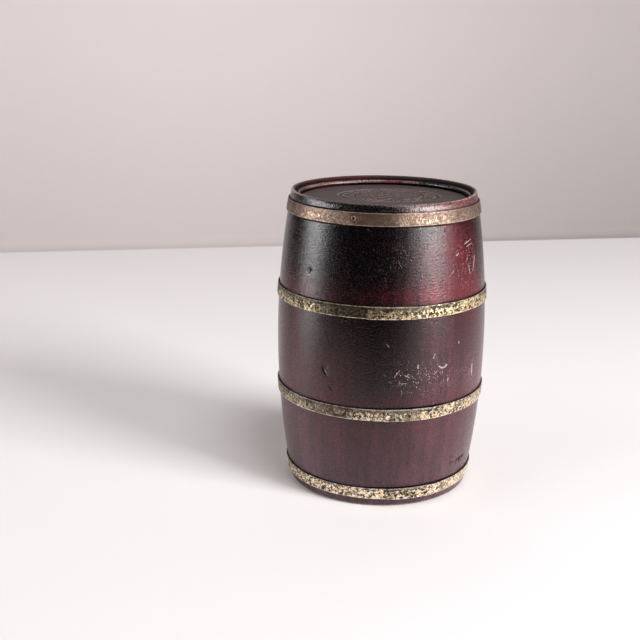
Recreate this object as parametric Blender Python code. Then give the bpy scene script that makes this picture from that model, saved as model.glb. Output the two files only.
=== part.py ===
"""A barrel humidor: a turned wooden barrel with a lift-off lid, nailed brass hoops and a metal liner.

The origin is at the middle of the foot, +Z is up, and the nails are placed from the front, which faces -Y.
"""

import math

import bmesh
import bpy
from mathutils import Matrix, Vector

MM = 0.001

# Barrel
BARREL_HEIGHT = 165.0 * MM       # foot to the top of the lid's rim
BILGE_RADIUS = 57.9 * MM         # wood at mid height
END_RADIUS = 50.3 * MM           # wood at the foot and at the rim
MOUTH_WALL = 7.6 * MM            # wood left round the bore at the mouth
LEDGE_WIDTH = 4.6 * MM           # ledge that carries the bottom head
LEDGE_HEIGHT = 5.0 * MM
FOOT_ROUND = 0.9 * MM            # worn edge of the foot
MOUTH_ROUND = 0.4 * MM           # eased edges on both sides of the parting line
BOTTOM_HEAD_THICKNESS = 6.0 * MM
HEAD_EDGE = 0.8 * MM             # bevel round the bottom head and the head panel

# Hoops and their nails
HOOP_WIDTH = 6.4 * MM
HOOP_THICKNESS = 0.45 * MM
HOOP_STANDOFF = 0.5 * MM         # wood to strip: the wood has shrunk inside its hoops
HOOP_FROM_END = 4.8 * MM         # wood that shows past the end hoops
HOOP_FROM_BELLY = 24.4 * MM      # mid height to the near edge of a bilge hoop
LAP_LENGTH = 24.0 * MM           # length over which a strip's ends overlap
LAP_RAMP = 13.0 * MM             # run in which the outer end comes down to the wood
NAILS_PER_HOOP = 4
NAIL_HEAD_RADIUS = 1.25 * MM
NAIL_HEAD_HEIGHT = 0.6 * MM
NAIL_RADIUS = 0.5 * MM
NAIL_BITE = 5.0 * MM             # length of a nail in the wood
NAIL_POINT = 1.2 * MM

# Lid
LID_LIP = 0.45 * MM              # wood below the lid's hoop
RIM_ROUND = 0.5 * MM             # half the width of the rim's top ridge
RIM_BEVEL_WIDTH = 2.9 * MM       # bevel from the ridge in towards the panel
RIM_BEVEL_DEPTH = 3.2 * MM
PANEL_STEP = 1.6 * MM            # short wall below the bevel, down to the panel
PANEL_NOSE = 0.5 * MM            # round where that wall meets the bevel
PANEL_THICKNESS = 1.7 * MM
WEB_THICKNESS = 8.2 * MM         # wood between the panel and the humidifier
SPIGOT_LENGTH = 12.0 * MM
SPIGOT_WALL = 4.7 * MM
SPIGOT_CLEARANCE = 0.8 * MM      # spigot to liner
SPIGOT_CHAMFER = 1.0 * MM
CORK_DEPTH = 2.4 * MM            # depth of the groove that holds the cork
CORK_WIDTH = 6.5 * MM
CORK_FROM_SEAT = 2.2 * MM        # parting line to the cork
CORK_CHAMFER = 0.5 * MM

# Liner
LINER_WALL = 0.8 * MM
LINER_FLANGE = 2.2 * MM
LINER_CORNER = 3.0 * MM          # outside radius of the liner's bottom corner

# Humidifier
DISH_SHEET = 0.8 * MM
DISH_DEPTH = 8.0 * MM
DISH_CORNER = 1.6 * MM
COVER_SKIRT = 6.0 * MM
COVER_FINGER_GAP = 1.9 * MM      # room round the cover to pull it off
PAD_CLEARANCE = 0.4 * MM         # pad to dish wall
HOLE_RADIUS = 1.5 * MM
HOLE_PITCH = 8.0 * MM
HOLE_MARGIN = 4.0 * MM           # plain edge round the perforated field
SCREW_COUNT = 3
SCREW_FROM_WALL = 12.0 * MM      # dish wall to a screw's axis
SCREW_HEAD_RADIUS = 2.2 * MM
SCREW_HEAD_HEIGHT = 1.2 * MM
SCREW_RADIUS = 1.0 * MM
SCREW_BITE = 4.0 * MM

# Fits
FIT_GAP = 0.3 * MM               # between pieces that rest on each other
TRIM_GAP = 0.25 * MM             # between a strip's two ends, and between a nail and what it holds

# Roundness
SEGMENTS = 48
CURVE_STEPS = 12                 # along the barrel's side
ROUND_STEPS = 2                  # round a small edge
RIDGE_STEPS = 3                  # over the rim's top ridge
DOME_STEPS = 3                   # over the head of a nail or a screw
SMALL_SEGMENTS = 8               # nails, screws and their holes
SMOOTH_ANGLE = math.radians(40.0)
WELD_DISTANCE = 0.001 * MM       # points of a turning that meet on its axis become one

# Each hoop's first nail, which goes through the lap, and how far the outer end reaches past that nail.
# Azimuth is measured in degrees from the front, towards +X.
LID_NAIL_AZIMUTH, LID_LAP_REACH = -16.2, 5.7
UPPER_NAIL_AZIMUTH, UPPER_LAP_REACH = 13.0, 20.0
LOWER_NAIL_AZIMUTH, LOWER_LAP_REACH = 16.0, 13.0
BASE_NAIL_AZIMUTH, BASE_LAP_REACH = 18.0, 11.3

# Heights and radii that follow from the sizes above
MID_HEIGHT = BARREL_HEIGHT / 2
PARTING_HEIGHT = BARREL_HEIGHT - HOOP_FROM_END - HOOP_WIDTH - LID_LIP
MOUTH_HEIGHT = PARTING_HEIGHT - FIT_GAP


def barrel_radius(height):
    """Radius of the wood at a height: a parabola through the two ends and the belly."""
    t = (height - MID_HEIGHT) / MID_HEIGHT
    return BILGE_RADIUS - (BILGE_RADIUS - END_RADIUS) * t * t


def barrel_slope(height):
    """Change of the wood's radius with height."""
    return -2 * (BILGE_RADIUS - END_RADIUS) * (height - MID_HEIGHT) / MID_HEIGHT**2


BORE_RADIUS = barrel_radius(MOUTH_HEIGHT) - MOUTH_WALL
LINER_RADIUS = BORE_RADIUS - FIT_GAP
LINER_INSIDE = LINER_RADIUS - LINER_WALL
FLANGE_RADIUS = LINER_RADIUS + LINER_FLANGE
BOTTOM_HEAD_BASE = LEDGE_HEIGHT + FIT_GAP
LINER_BASE = BOTTOM_HEAD_BASE + BOTTOM_HEAD_THICKNESS + FIT_GAP

PANEL_WALL = END_RADIUS - 2 * RIM_ROUND - RIM_BEVEL_WIDTH - PANEL_NOSE
PANEL_TOP = BARREL_HEIGHT - RIM_BEVEL_DEPTH - PANEL_STEP
RECESS_FLOOR = PANEL_TOP - PANEL_THICKNESS - FIT_GAP
WEB_BASE = RECESS_FLOOR - WEB_THICKNESS
SPIGOT_RADIUS = LINER_INSIDE - SPIGOT_CLEARANCE
SPIGOT_INSIDE = SPIGOT_RADIUS - SPIGOT_WALL
SPIGOT_END = PARTING_HEIGHT - SPIGOT_LENGTH
CORK_TOP = PARTING_HEIGHT - CORK_FROM_SEAT
CORK_BASE = CORK_TOP - CORK_WIDTH

COVER_RADIUS = SPIGOT_INSIDE - COVER_FINGER_GAP
DISH_RADIUS = COVER_RADIUS - DISH_SHEET - FIT_GAP
DISH_INSIDE = DISH_RADIUS - DISH_SHEET
DISH_TOP = WEB_BASE - FIT_GAP
DISH_FLOOR = DISH_TOP - DISH_SHEET
DISH_RIM = DISH_TOP - DISH_DEPTH
COVER_FACE_TOP = DISH_RIM - FIT_GAP
SCREW_CIRCLE = DISH_INSIDE - SCREW_FROM_WALL
SCREW_SEAT = DISH_FLOOR - FIT_GAP


def clear_scene():
    for item in list(bpy.data.objects):
        bpy.data.objects.remove(item, do_unlink=True)


def make_material(name, colour, roughness, metallic=0.0):
    material = bpy.data.materials.new(name)
    material.use_nodes = True
    shader = material.node_tree.nodes["Principled BSDF"]
    shader.inputs["Base Color"].default_value = (*colour, 1.0)
    shader.inputs["Roughness"].default_value = roughness
    shader.inputs["Metallic"].default_value = metallic
    return material


def make_joint_empty(name, height, parent=None):
    """An empty on the barrel's axis, which carries the pieces that move together."""
    empty = bpy.data.objects.new(name, None)
    empty.empty_display_size = END_RADIUS
    bpy.context.collection.objects.link(empty)
    empty.location = (0.0, 0.0, height)
    if parent:
        empty.parent = parent
        empty.location.z -= parent.matrix_world.translation.z
    bpy.context.view_layer.update()
    return empty


def make_object(name, bm, material, carrier):
    """Turn a bmesh into a smooth-shaded object at the origin, carried by an empty."""
    bmesh.ops.recalc_face_normals(bm, faces=bm.faces)
    mesh = bpy.data.meshes.new(name)
    bm.to_mesh(mesh)
    bm.free()
    mesh.shade_smooth()
    mesh.set_sharp_from_angle(angle=SMOOTH_ANGLE)
    mesh.materials.append(material)
    piece = bpy.data.objects.new(name, mesh)
    bpy.context.collection.objects.link(piece)
    piece.parent = carrier
    piece.matrix_parent_inverse = carrier.matrix_world.inverted()
    return piece


def round_corner(centre_radius, centre_height, radius, start, end, steps=ROUND_STEPS):
    """Points (radius, height) of a small arc, its angles in degrees from the outward direction."""
    points = []
    for step in range(steps + 1):
        angle = math.radians(start + (end - start) * step / steps)
        points.append((centre_radius + radius * math.cos(angle), centre_height + radius * math.sin(angle)))
    return points


def dome(radius, base, rise):
    """Points (radius, height) over a domed head, from its crown to its edge."""
    points = []
    for step in range(DOME_STEPS + 1):
        angle = math.pi / 2 * step / DOME_STEPS
        points.append((radius * math.sin(angle), base + rise * math.cos(angle)))
    return points


def barrel_side(low, high, steps):
    """Points (radius, height) up the outside of the wood."""
    heights = [low + (high - low) * step / steps for step in range(steps + 1)]
    return [(barrel_radius(height), height) for height in heights]


def turn(profile, segments=SEGMENTS):
    """Spin a profile of (radius, height) about Z; a profile that leaves the axis open is a ring."""
    bm = bmesh.new()
    points = [bm.verts.new((0.0, -radius, height)) for radius, height in profile]
    edges = [bm.edges.new(pair) for pair in zip(points, points[1:])]
    if profile[0][0] > 0:
        edges.append(bm.edges.new((points[-1], points[0])))
    bmesh.ops.spin(
        bm, geom=points + edges, cent=(0, 0, 0), axis=(0, 0, 1), angle=math.tau, steps=segments,
        use_merge=True,
    )
    bmesh.ops.remove_doubles(bm, verts=bm.verts, dist=WELD_DISTANCE)
    return bm


def make_cutter(name, bm, targets):
    """Cut a mesh out of each target and keep it as a hidden wire guide."""
    bmesh.ops.recalc_face_normals(bm, faces=bm.faces)
    mesh = bpy.data.meshes.new(name)
    bm.to_mesh(mesh)
    bm.free()
    cutter = bpy.data.objects.new(name, mesh)
    bpy.context.collection.objects.link(cutter)
    cutter.hide_render = True
    cutter.display_type = "WIRE"
    for target in targets:
        cut = target.modifiers.new(name, "BOOLEAN")
        cut.operation = "DIFFERENCE"
        cut.solver = "EXACT"
        cut.object = cutter


def add_rod(bm, frame, radius, low, high):
    """Add a cylinder along a frame's Z, from low to high."""
    middle = Matrix.Translation((0.0, 0.0, (low + high) / 2))
    bmesh.ops.create_cone(
        bm, cap_ends=True, segments=SMALL_SEGMENTS, radius1=radius, radius2=radius, depth=high - low,
        matrix=frame @ middle,
    )


def make_barrel_body(material, carrier):
    rebate_floor = MOUTH_HEIGHT - LINER_WALL - FIT_GAP
    profile = [(BORE_RADIUS - LEDGE_WIDTH, 0.0)]
    profile += round_corner(END_RADIUS - FOOT_ROUND, FOOT_ROUND, FOOT_ROUND, -90, 0)[:-1]
    profile += barrel_side(FOOT_ROUND, MOUTH_HEIGHT - MOUTH_ROUND, CURVE_STEPS)
    profile.append((barrel_radius(MOUTH_HEIGHT) - MOUTH_ROUND, MOUTH_HEIGHT))
    profile.append((FLANGE_RADIUS + FIT_GAP, MOUTH_HEIGHT))
    profile.append((FLANGE_RADIUS + FIT_GAP, rebate_floor))
    profile.append((BORE_RADIUS, rebate_floor))
    profile.append((BORE_RADIUS, LEDGE_HEIGHT))
    profile.append((BORE_RADIUS - LEDGE_WIDTH, LEDGE_HEIGHT))
    return make_object("barrel_body", turn(profile), material, carrier)


def make_disc(name, radius, base, thickness, material, carrier):
    """A wooden disc with a bevelled upper edge."""
    top = base + thickness
    profile = [(0.0, base), (radius, base)]
    profile += [(radius, top - HEAD_EDGE), (radius - HEAD_EDGE, top), (0.0, top)]
    return make_object(name, turn(profile), material, carrier)


def make_liner_cup(material, carrier):
    inner_corner = LINER_CORNER - LINER_WALL
    floor = LINER_BASE + LINER_WALL
    corner_height = LINER_BASE + LINER_CORNER
    profile = [(0.0, LINER_BASE)]
    profile += round_corner(LINER_RADIUS - LINER_CORNER, corner_height, LINER_CORNER, -90, 0)
    profile.append((LINER_RADIUS, MOUTH_HEIGHT - LINER_WALL))
    profile.append((FLANGE_RADIUS, MOUTH_HEIGHT - LINER_WALL))
    profile.append((FLANGE_RADIUS, MOUTH_HEIGHT))
    profile.append((LINER_INSIDE, MOUTH_HEIGHT))
    profile += round_corner(LINER_INSIDE - inner_corner, corner_height, inner_corner, 0, -90)
    profile.append((0.0, floor))
    return make_object("liner_cup", turn(profile), material, carrier)


def make_lid_turning(material, carrier):
    ridge_radius = END_RADIUS - RIM_ROUND
    ridge_height = BARREL_HEIGHT - RIM_ROUND
    bevel_base = BARREL_HEIGHT - RIM_BEVEL_DEPTH
    cork_groove = SPIGOT_RADIUS - CORK_DEPTH
    lower_edge = PARTING_HEIGHT + MOUTH_ROUND
    profile = [(0.0, RECESS_FLOOR), (PANEL_WALL, RECESS_FLOOR)]
    profile += [(PANEL_WALL, bevel_base - PANEL_NOSE), (PANEL_WALL + PANEL_NOSE, bevel_base)]
    profile += round_corner(ridge_radius, ridge_height, RIM_ROUND, 135, 0, RIDGE_STEPS)[:-1]
    profile += reversed(barrel_side(lower_edge, ridge_height, ROUND_STEPS))
    profile.append((barrel_radius(PARTING_HEIGHT) - MOUTH_ROUND, PARTING_HEIGHT))
    profile.append((SPIGOT_RADIUS, PARTING_HEIGHT))
    profile.append((SPIGOT_RADIUS, CORK_TOP))
    profile.append((cork_groove, CORK_TOP))
    profile.append((cork_groove, CORK_BASE))
    profile.append((SPIGOT_RADIUS, CORK_BASE))
    profile.append((SPIGOT_RADIUS, SPIGOT_END + SPIGOT_CHAMFER))
    profile.append((SPIGOT_RADIUS - SPIGOT_CHAMFER, SPIGOT_END))
    profile.append((SPIGOT_INSIDE, SPIGOT_END))
    profile.append((SPIGOT_INSIDE, WEB_BASE))
    profile.append((0.0, WEB_BASE))
    return make_object("lid_turning", turn(profile), material, carrier)


def make_cork_seal(material, carrier):
    inside = SPIGOT_RADIUS - CORK_DEPTH + FIT_GAP
    outside = LINER_INSIDE - FIT_GAP
    top = CORK_TOP - FIT_GAP
    base = CORK_BASE + FIT_GAP
    profile = [(inside, base), (outside - CORK_CHAMFER, base), (outside, base + CORK_CHAMFER)]
    profile += [(outside, top - CORK_CHAMFER), (outside - CORK_CHAMFER, top), (inside, top)]
    return make_object("cork_seal", turn(profile), material, carrier)


def make_hoop(name, base, nail_azimuth, lap_reach, material, carrier):
    """A flat strip wound round the wood, its outer end lapped over the inner one."""
    low, high = base, base + HOOP_WIDTH
    seat_radius = barrel_radius((low + high) / 2)
    step = 360.0 / SEGMENTS
    lap_steps = math.ceil(math.degrees(LAP_LENGTH / seat_radius) / step)
    ramp_steps = math.ceil(math.degrees(LAP_RAMP / seat_radius) / step)
    lift = HOOP_THICKNESS + TRIM_GAP
    bm = bmesh.new()
    sections = []
    for index in range(SEGMENTS + lap_steps + 1):
        azimuth = math.radians(nail_azimuth - lap_reach + step * index)
        along = Vector((math.sin(azimuth), -math.cos(azimuth), 0.0))
        down_ramp = min(max((index - lap_steps) / ramp_steps, 0.0), 1.0)
        rise = HOOP_STANDOFF + lift * (1.0 - down_ramp)
        corners = []
        for depth, height in ((0.0, low), (HOOP_THICKNESS, low), (HOOP_THICKNESS, high), (0.0, high)):
            radius = barrel_radius(height) + rise + depth
            corners.append(bm.verts.new(along * radius + Vector((0.0, 0.0, height))))
        sections.append(corners)
    for here, after in zip(sections, sections[1:]):
        for side in range(4):
            follow = (side + 1) % 4
            bm.faces.new((here[side], here[follow], after[follow], after[side]))
    bm.faces.new(sections[0])
    bm.faces.new(reversed(sections[-1]))
    return make_object(name, bm, material, carrier)


def nail_frame(azimuth_degrees, height):
    """A frame on the wood's surface whose Z points straight out of it."""
    azimuth = math.radians(azimuth_degrees)
    along = Vector((math.sin(azimuth), -math.cos(azimuth), 0.0))
    outward = (along + Vector((0.0, 0.0, -barrel_slope(height)))).normalized()
    foot = along * barrel_radius(height) + Vector((0.0, 0.0, height))
    return Matrix.Translation(foot) @ outward.to_track_quat("Z", "Y").to_matrix().to_4x4()


def make_nail(name, frame, seat, material, carrier):
    """A round-headed nail driven along a frame's -Z, its head just clear of the strip at height seat."""
    profile = dome(NAIL_HEAD_RADIUS, seat, NAIL_HEAD_HEIGHT)
    profile += [(NAIL_RADIUS, seat), (NAIL_RADIUS, NAIL_POINT - NAIL_BITE), (0.0, -NAIL_BITE)]
    bm = turn(profile, SMALL_SEGMENTS)
    bmesh.ops.transform(bm, matrix=frame, verts=bm.verts)
    return make_object(name, bm, material, carrier)


def fit_hoop(label, base, nail_azimuth, lap_reach, wood, materials, carrier):
    """Make a hoop and its nails, and drill the strip and the wood for them."""
    hoop = make_hoop("hoop_" + label, base, nail_azimuth, lap_reach, materials["brass"], carrier)
    drill = bmesh.new()
    for index in range(NAILS_PER_HOOP):
        layers = 2 if index == 0 else 1
        frame = nail_frame(nail_azimuth + 360.0 * index / NAILS_PER_HOOP, base + HOOP_WIDTH / 2)
        seat = HOOP_STANDOFF + layers * (HOOP_THICKNESS + TRIM_GAP)
        make_nail("nail_{}_{}".format(label, index + 1), frame, seat, materials["nail"], carrier)
        add_rod(drill, frame, NAIL_RADIUS + TRIM_GAP, -NAIL_BITE - FIT_GAP, seat + NAIL_HEAD_HEIGHT)
    make_cutter("drill_" + label, drill, (hoop, wood))


def screw_frames():
    """Frames on the dish's floor, Z up into the lid, one for each screw."""
    frames = []
    for index in range(SCREW_COUNT):
        azimuth = math.tau * index / SCREW_COUNT
        place = (SCREW_CIRCLE * math.sin(azimuth), -SCREW_CIRCLE * math.cos(azimuth), SCREW_SEAT)
        frames.append(Matrix.Translation(place))
    return frames


def make_humidifier_dish(material, carrier):
    inner_corner = DISH_CORNER - DISH_SHEET
    corner_height = DISH_TOP - DISH_CORNER
    profile = [(0.0, DISH_FLOOR)]
    profile += round_corner(DISH_INSIDE - inner_corner, corner_height, inner_corner, 90, 0)
    profile += [(DISH_INSIDE, DISH_RIM), (DISH_RADIUS, DISH_RIM)]
    profile += round_corner(DISH_RADIUS - DISH_CORNER, corner_height, DISH_CORNER, 0, 90)
    profile.append((0.0, DISH_TOP))
    return make_object("humidifier_dish", turn(profile), material, carrier)


def fit_screws(dish, wood, material, carrier):
    """Hold the dish to the lid with round-headed screws, and drill both for them."""
    drill = bmesh.new()
    depth = WEB_BASE + SCREW_BITE - SCREW_SEAT
    for index, frame in enumerate(screw_frames()):
        profile = dome(SCREW_HEAD_RADIUS, 0.0, -SCREW_HEAD_HEIGHT)
        profile += [(SCREW_RADIUS, 0.0), (SCREW_RADIUS, depth - SCREW_RADIUS), (0.0, depth)]
        bm = turn(profile, SMALL_SEGMENTS)
        bmesh.ops.transform(bm, matrix=frame, verts=bm.verts)
        make_object("dish_screw_{}".format(index + 1), bm, material, carrier)
        add_rod(drill, frame, SCREW_RADIUS + FIT_GAP, -SCREW_HEAD_HEIGHT, depth + FIT_GAP)
    make_cutter("drill_screws", drill, (dish, wood))


def make_humidifier_cover(material, carrier):
    """A pressed cap over the dish, its face pierced by rings of holes."""
    inside = COVER_RADIUS - DISH_SHEET
    face_base = COVER_FACE_TOP - DISH_SHEET
    skirt_top = COVER_FACE_TOP + COVER_SKIRT
    inner_corner = DISH_CORNER - DISH_SHEET
    corner_height = face_base + DISH_CORNER
    profile = [(0.0, face_base)]
    profile += round_corner(COVER_RADIUS - DISH_CORNER, corner_height, DISH_CORNER, -90, 0)
    profile += [(COVER_RADIUS, skirt_top), (inside, skirt_top)]
    profile += round_corner(inside - inner_corner, corner_height, inner_corner, 0, -90)
    profile.append((0.0, COVER_FACE_TOP))
    cover = make_object("humidifier_cover", turn(profile), material, carrier)

    punch = bmesh.new()
    rings = int((inside - HOLE_MARGIN - HOLE_RADIUS) / HOLE_PITCH)
    places = [(0.0, 0.0)]
    for ring in range(1, rings + 1):
        count = 6 * ring
        places += [(ring * HOLE_PITCH, math.tau * index / count) for index in range(count)]
    for radius, azimuth in places:
        frame = Matrix.Translation((radius * math.sin(azimuth), -radius * math.cos(azimuth), face_base))
        add_rod(punch, frame, HOLE_RADIUS, -DISH_SHEET, 2 * DISH_SHEET)
    make_cutter("punch_cover", punch, (cover,))
    return cover


def make_moisture_pad(material, carrier):
    base = COVER_FACE_TOP + FIT_GAP
    top = SCREW_SEAT - SCREW_HEAD_HEIGHT - FIT_GAP
    radius = DISH_INSIDE - PAD_CLEARANCE
    edge = DISH_CORNER - DISH_SHEET
    profile = [(0.0, base), (radius - edge, base), (radius, base + edge)]
    profile += [(radius, top - edge), (radius - edge, top), (0.0, top)]
    return make_object("moisture_pad", turn(profile), material, carrier)


def make_materials():
    return {
        "lacquer": make_material("lacquered_mahogany", (0.085, 0.022, 0.024), 0.32),
        "panel": make_material("stained_head", (0.085, 0.062, 0.058), 0.62),
        "brass": make_material("aged_brass", (0.42, 0.30, 0.14), 0.42, 0.9),
        "nail": make_material("tarnished_nail", (0.20, 0.14, 0.08), 0.50, 0.9),
        "wood": make_material("bare_wood", (0.27, 0.13, 0.07), 0.70),
        "liner": make_material("tinned_liner", (0.58, 0.57, 0.54), 0.35, 1.0),
        "cork": make_material("cork", (0.45, 0.29, 0.15), 0.85),
        "plated": make_material("plated_sheet", (0.62, 0.60, 0.55), 0.30, 1.0),
        "felt": make_material("felt", (0.62, 0.57, 0.47), 0.95),
    }


def build():
    clear_scene()
    materials = make_materials()
    barrel = make_joint_empty("barrel", 0.0)
    lid = make_joint_empty("lid", PARTING_HEIGHT, barrel)
    humidifier = make_joint_empty("humidifier", DISH_RIM, lid)

    barrel_body = make_barrel_body(materials["lacquer"], barrel)
    bottom_radius = BORE_RADIUS - FIT_GAP
    make_disc(
        "bottom_head", bottom_radius, BOTTOM_HEAD_BASE, BOTTOM_HEAD_THICKNESS, materials["wood"], barrel
    )
    make_liner_cup(materials["liner"], barrel)

    lid_turning = make_lid_turning(materials["lacquer"], lid)
    panel_base = RECESS_FLOOR + FIT_GAP
    make_disc("lid_head_panel", PANEL_WALL - FIT_GAP, panel_base, PANEL_THICKNESS, materials["panel"], lid)
    make_cork_seal(materials["cork"], lid)

    lid_hoop = BARREL_HEIGHT - HOOP_FROM_END - HOOP_WIDTH
    upper_hoop = MID_HEIGHT + HOOP_FROM_BELLY
    lower_hoop = MID_HEIGHT - HOOP_FROM_BELLY - HOOP_WIDTH
    fit_hoop("lid", lid_hoop, LID_NAIL_AZIMUTH, LID_LAP_REACH, lid_turning, materials, lid)
    fit_hoop("upper", upper_hoop, UPPER_NAIL_AZIMUTH, UPPER_LAP_REACH, barrel_body, materials, barrel)
    fit_hoop("lower", lower_hoop, LOWER_NAIL_AZIMUTH, LOWER_LAP_REACH, barrel_body, materials, barrel)
    fit_hoop("base", HOOP_FROM_END, BASE_NAIL_AZIMUTH, BASE_LAP_REACH, barrel_body, materials, barrel)

    dish = make_humidifier_dish(materials["plated"], lid)
    fit_screws(dish, lid_turning, materials["plated"], lid)
    make_moisture_pad(materials["felt"], humidifier)
    make_humidifier_cover(materials["plated"], humidifier)


build()
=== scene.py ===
# %% [markdown]
# # A turned barrel humidor
# The object is a small wooden barrel with a lift-off lid, four nailed brass strips and a metal liner.
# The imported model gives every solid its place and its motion. This script keeps those places and gives
# each piece the shape and the finish of the real one: old lacquer, worn brass, cork, felt and sheet metal.
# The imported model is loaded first, and its box is kept, because nothing added here may outgrow it.

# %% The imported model
import math
from functools import partial

import bmesh
import bpy
from mathutils import Matrix, Vector, noise


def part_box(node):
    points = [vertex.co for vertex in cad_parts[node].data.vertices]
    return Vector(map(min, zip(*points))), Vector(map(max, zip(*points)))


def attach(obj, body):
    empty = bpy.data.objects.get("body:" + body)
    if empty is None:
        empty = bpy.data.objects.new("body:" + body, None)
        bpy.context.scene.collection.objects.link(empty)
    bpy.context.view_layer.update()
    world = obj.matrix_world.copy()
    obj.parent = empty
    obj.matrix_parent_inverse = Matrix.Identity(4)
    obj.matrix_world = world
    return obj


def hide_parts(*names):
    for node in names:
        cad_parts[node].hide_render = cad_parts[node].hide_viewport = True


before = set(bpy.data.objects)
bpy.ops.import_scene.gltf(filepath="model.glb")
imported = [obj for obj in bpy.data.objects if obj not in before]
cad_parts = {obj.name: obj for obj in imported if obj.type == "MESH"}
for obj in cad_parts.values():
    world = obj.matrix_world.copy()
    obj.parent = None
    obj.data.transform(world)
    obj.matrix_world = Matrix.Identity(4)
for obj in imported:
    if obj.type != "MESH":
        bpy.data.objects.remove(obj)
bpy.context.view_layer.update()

MM = 0.001
BARREL_HEIGHT = 165.0 * MM
BILGE_RADIUS = 57.9 * MM
END_RADIUS = 50.3 * MM

# %% [markdown]
# ## The camera
# The barrel was photographed with a short telephoto lens from a little above its lid. Both ends of the
# barrel and all four strips show as ellipses, and their widths and heights fix the lens, the distance and
# the tilt. The camera stands in front, on the -Y side, and looks a few degrees to the left of the barrel,
# which is why the barrel sits to the right of the middle. A small turn about its own axis levels it.

# %% The camera
IMAGE_SIDE = 640
FOCAL_LENGTH = 1060.0            # in pixels of the photograph
CAMERA_PLACE = (0.0, -576.0 * MM, 252.5 * MM)
LOOK_DOWN, LOOK_LEFT, LEAN = 15.777, 3.406, 0.487

scene = bpy.context.scene
scene.view_settings.view_transform = "Standard"
camera = bpy.data.objects.new("camera", bpy.data.cameras.new("camera"))
camera.data.sensor_width = 36.0
camera.data.lens = camera.data.sensor_width * FOCAL_LENGTH / IMAGE_SIDE
camera.data.clip_start = 10.0 * MM
heading = Matrix.Rotation(math.radians(LOOK_LEFT), 4, "Z")
tilt = Matrix.Rotation(math.radians(90.0 - LOOK_DOWN), 4, "X")
lean = Matrix.Rotation(math.radians(LEAN), 4, "Z")
camera.matrix_world = Matrix.Translation(CAMERA_PLACE) @ heading @ tilt @ lean
scene.collection.objects.link(camera)
scene.camera = camera
print("lens:", round(camera.data.lens, 1), "mm")

# %% [markdown]
# ## Helpers for nodes
# Every finish below is a small tree of shader nodes. A few helpers keep them readable: one adds a node and
# sets or links its sockets, and short names stand for the sums and mixes that every finish needs. A socket
# knows the tree that it belongs to, so most helpers need no more than sockets and numbers. An effect that
# several finishes share is built once as a node group, and each material gives it its own values.


# %% Nodes and sums
def fill(made, sockets):
    """Set the sockets of a node, or link them where the value is another node's socket."""
    for key, value in sockets.items():
        if isinstance(value, bpy.types.NodeSocket):
            made.id_data.links.new(value, made.inputs[key])
        else:
            made.inputs[key].default_value = value


def put(tree, kind, sockets, output=0, **settings):
    """Add a node, fill its sockets, and give back one of its outputs."""
    made = tree.nodes.new("ShaderNode" + kind)
    for name, value in settings.items():
        setattr(made, name, value)
    fill(made, sockets)
    return made.outputs[output]


def calc(operation, *values):
    """A Math node, in the tree of the first socket among its values."""
    tree = next(value.id_data for value in values if isinstance(value, bpy.types.NodeSocket))
    return put(tree, "Math", dict(enumerate(values)), operation=operation)


def join(operation, first, second):
    """A VectorMath node on a vector and another vector or socket."""
    return put(first.id_data, "VectorMath", {0: first, 1: second}, operation=operation)


def fade(value, low, high, bottom=0.0, top=1.0):
    """A soft step: bottom where the value is below low, top where it is above high."""
    ends = {0: value, 1: low, 2: high, 3: bottom, 4: top}
    return put(value.id_data, "MapRange", ends, interpolation_type="SMOOTHSTEP")


def blend(share, first, second, mode="MIX"):
    """Mix two colours, each a socket or (red, green, blue)."""
    first, second = ((*end, 1.0) if isinstance(end, tuple) else end for end in (first, second))
    ends = {0: share, 6: first, 7: second}
    return put(share.id_data, "Mix", ends, output=2, data_type="RGBA", blend_type=mode)


def cloud(vector, scale, detail=3.0, roughness=0.55):
    """Soft noise from 0 to 1, with its patches about one over scale metres wide."""
    sockets = {"Vector": vector, "Scale": scale, "Detail": detail, "Roughness": roughness}
    return put(vector.id_data, "TexNoise", sockets)


def split(vector):
    """The X, Y and Z of a vector."""
    return put(vector.id_data, "SeparateXYZ", {0: vector}).node.outputs


def chances(cell):
    """Three random values that a Voronoi node gives each of its cells."""
    return put(cell.id_data, "SeparateColor", {0: cell.outputs["Color"]}).node.outputs


times, plus = partial(calc, "MULTIPLY"), partial(calc, "ADD")
minus, most = partial(calc, "SUBTRACT"), partial(calc, "MAXIMUM")
print("sums ready")


# %% Groups and materials
def start_group(name, inputs, outputs):
    """A shader node group with named sockets; gives back the group and its two ends."""
    group = bpy.data.node_groups.new(name, "ShaderNodeTree")
    for label, value in inputs.items():
        kind = "NodeSocketVector" if label == "Vector" else "NodeSocketFloat"
        socket = group.interface.new_socket(label, in_out="INPUT", socket_type=kind)
        socket.default_value = value
    for label in outputs:
        group.interface.new_socket(label, in_out="OUTPUT", socket_type="NodeSocketFloat")
    return group, group.nodes.new("NodeGroupInput").outputs, group.nodes.new("NodeGroupOutput").inputs


def place(group, **sockets):
    """Use a node group in the tree of its Vector, and give back its outputs."""
    made = sockets["Vector"].id_data.nodes.new("ShaderNodeGroup")
    made.node_tree = group
    fill(made, sockets)
    return made.outputs


def start_material(name):
    """A material; gives it back with its tree, its Principled shader's inputs and object coordinates."""
    material = bpy.data.materials.new(name)
    material.use_nodes = True
    tree = material.node_tree
    coords = put(tree, "TexCoord", {}, output="Object")
    return material, tree, tree.nodes["Principled BSDF"].inputs, coords


def dress(shader, colour, roughness, relief, strength, depth):
    """Link a finish's colour, roughness and relief to its shader; the relief's depth is in mm."""
    tree = colour.id_data
    bump = put(tree, "Bump", {"Height": relief, "Strength": strength, "Distance": depth * MM})
    for value, socket in ((colour, "Base Color"), (roughness, "Roughness"), (bump, "Normal")):
        tree.links.new(value, shader[socket])


print("helpers ready")

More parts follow.
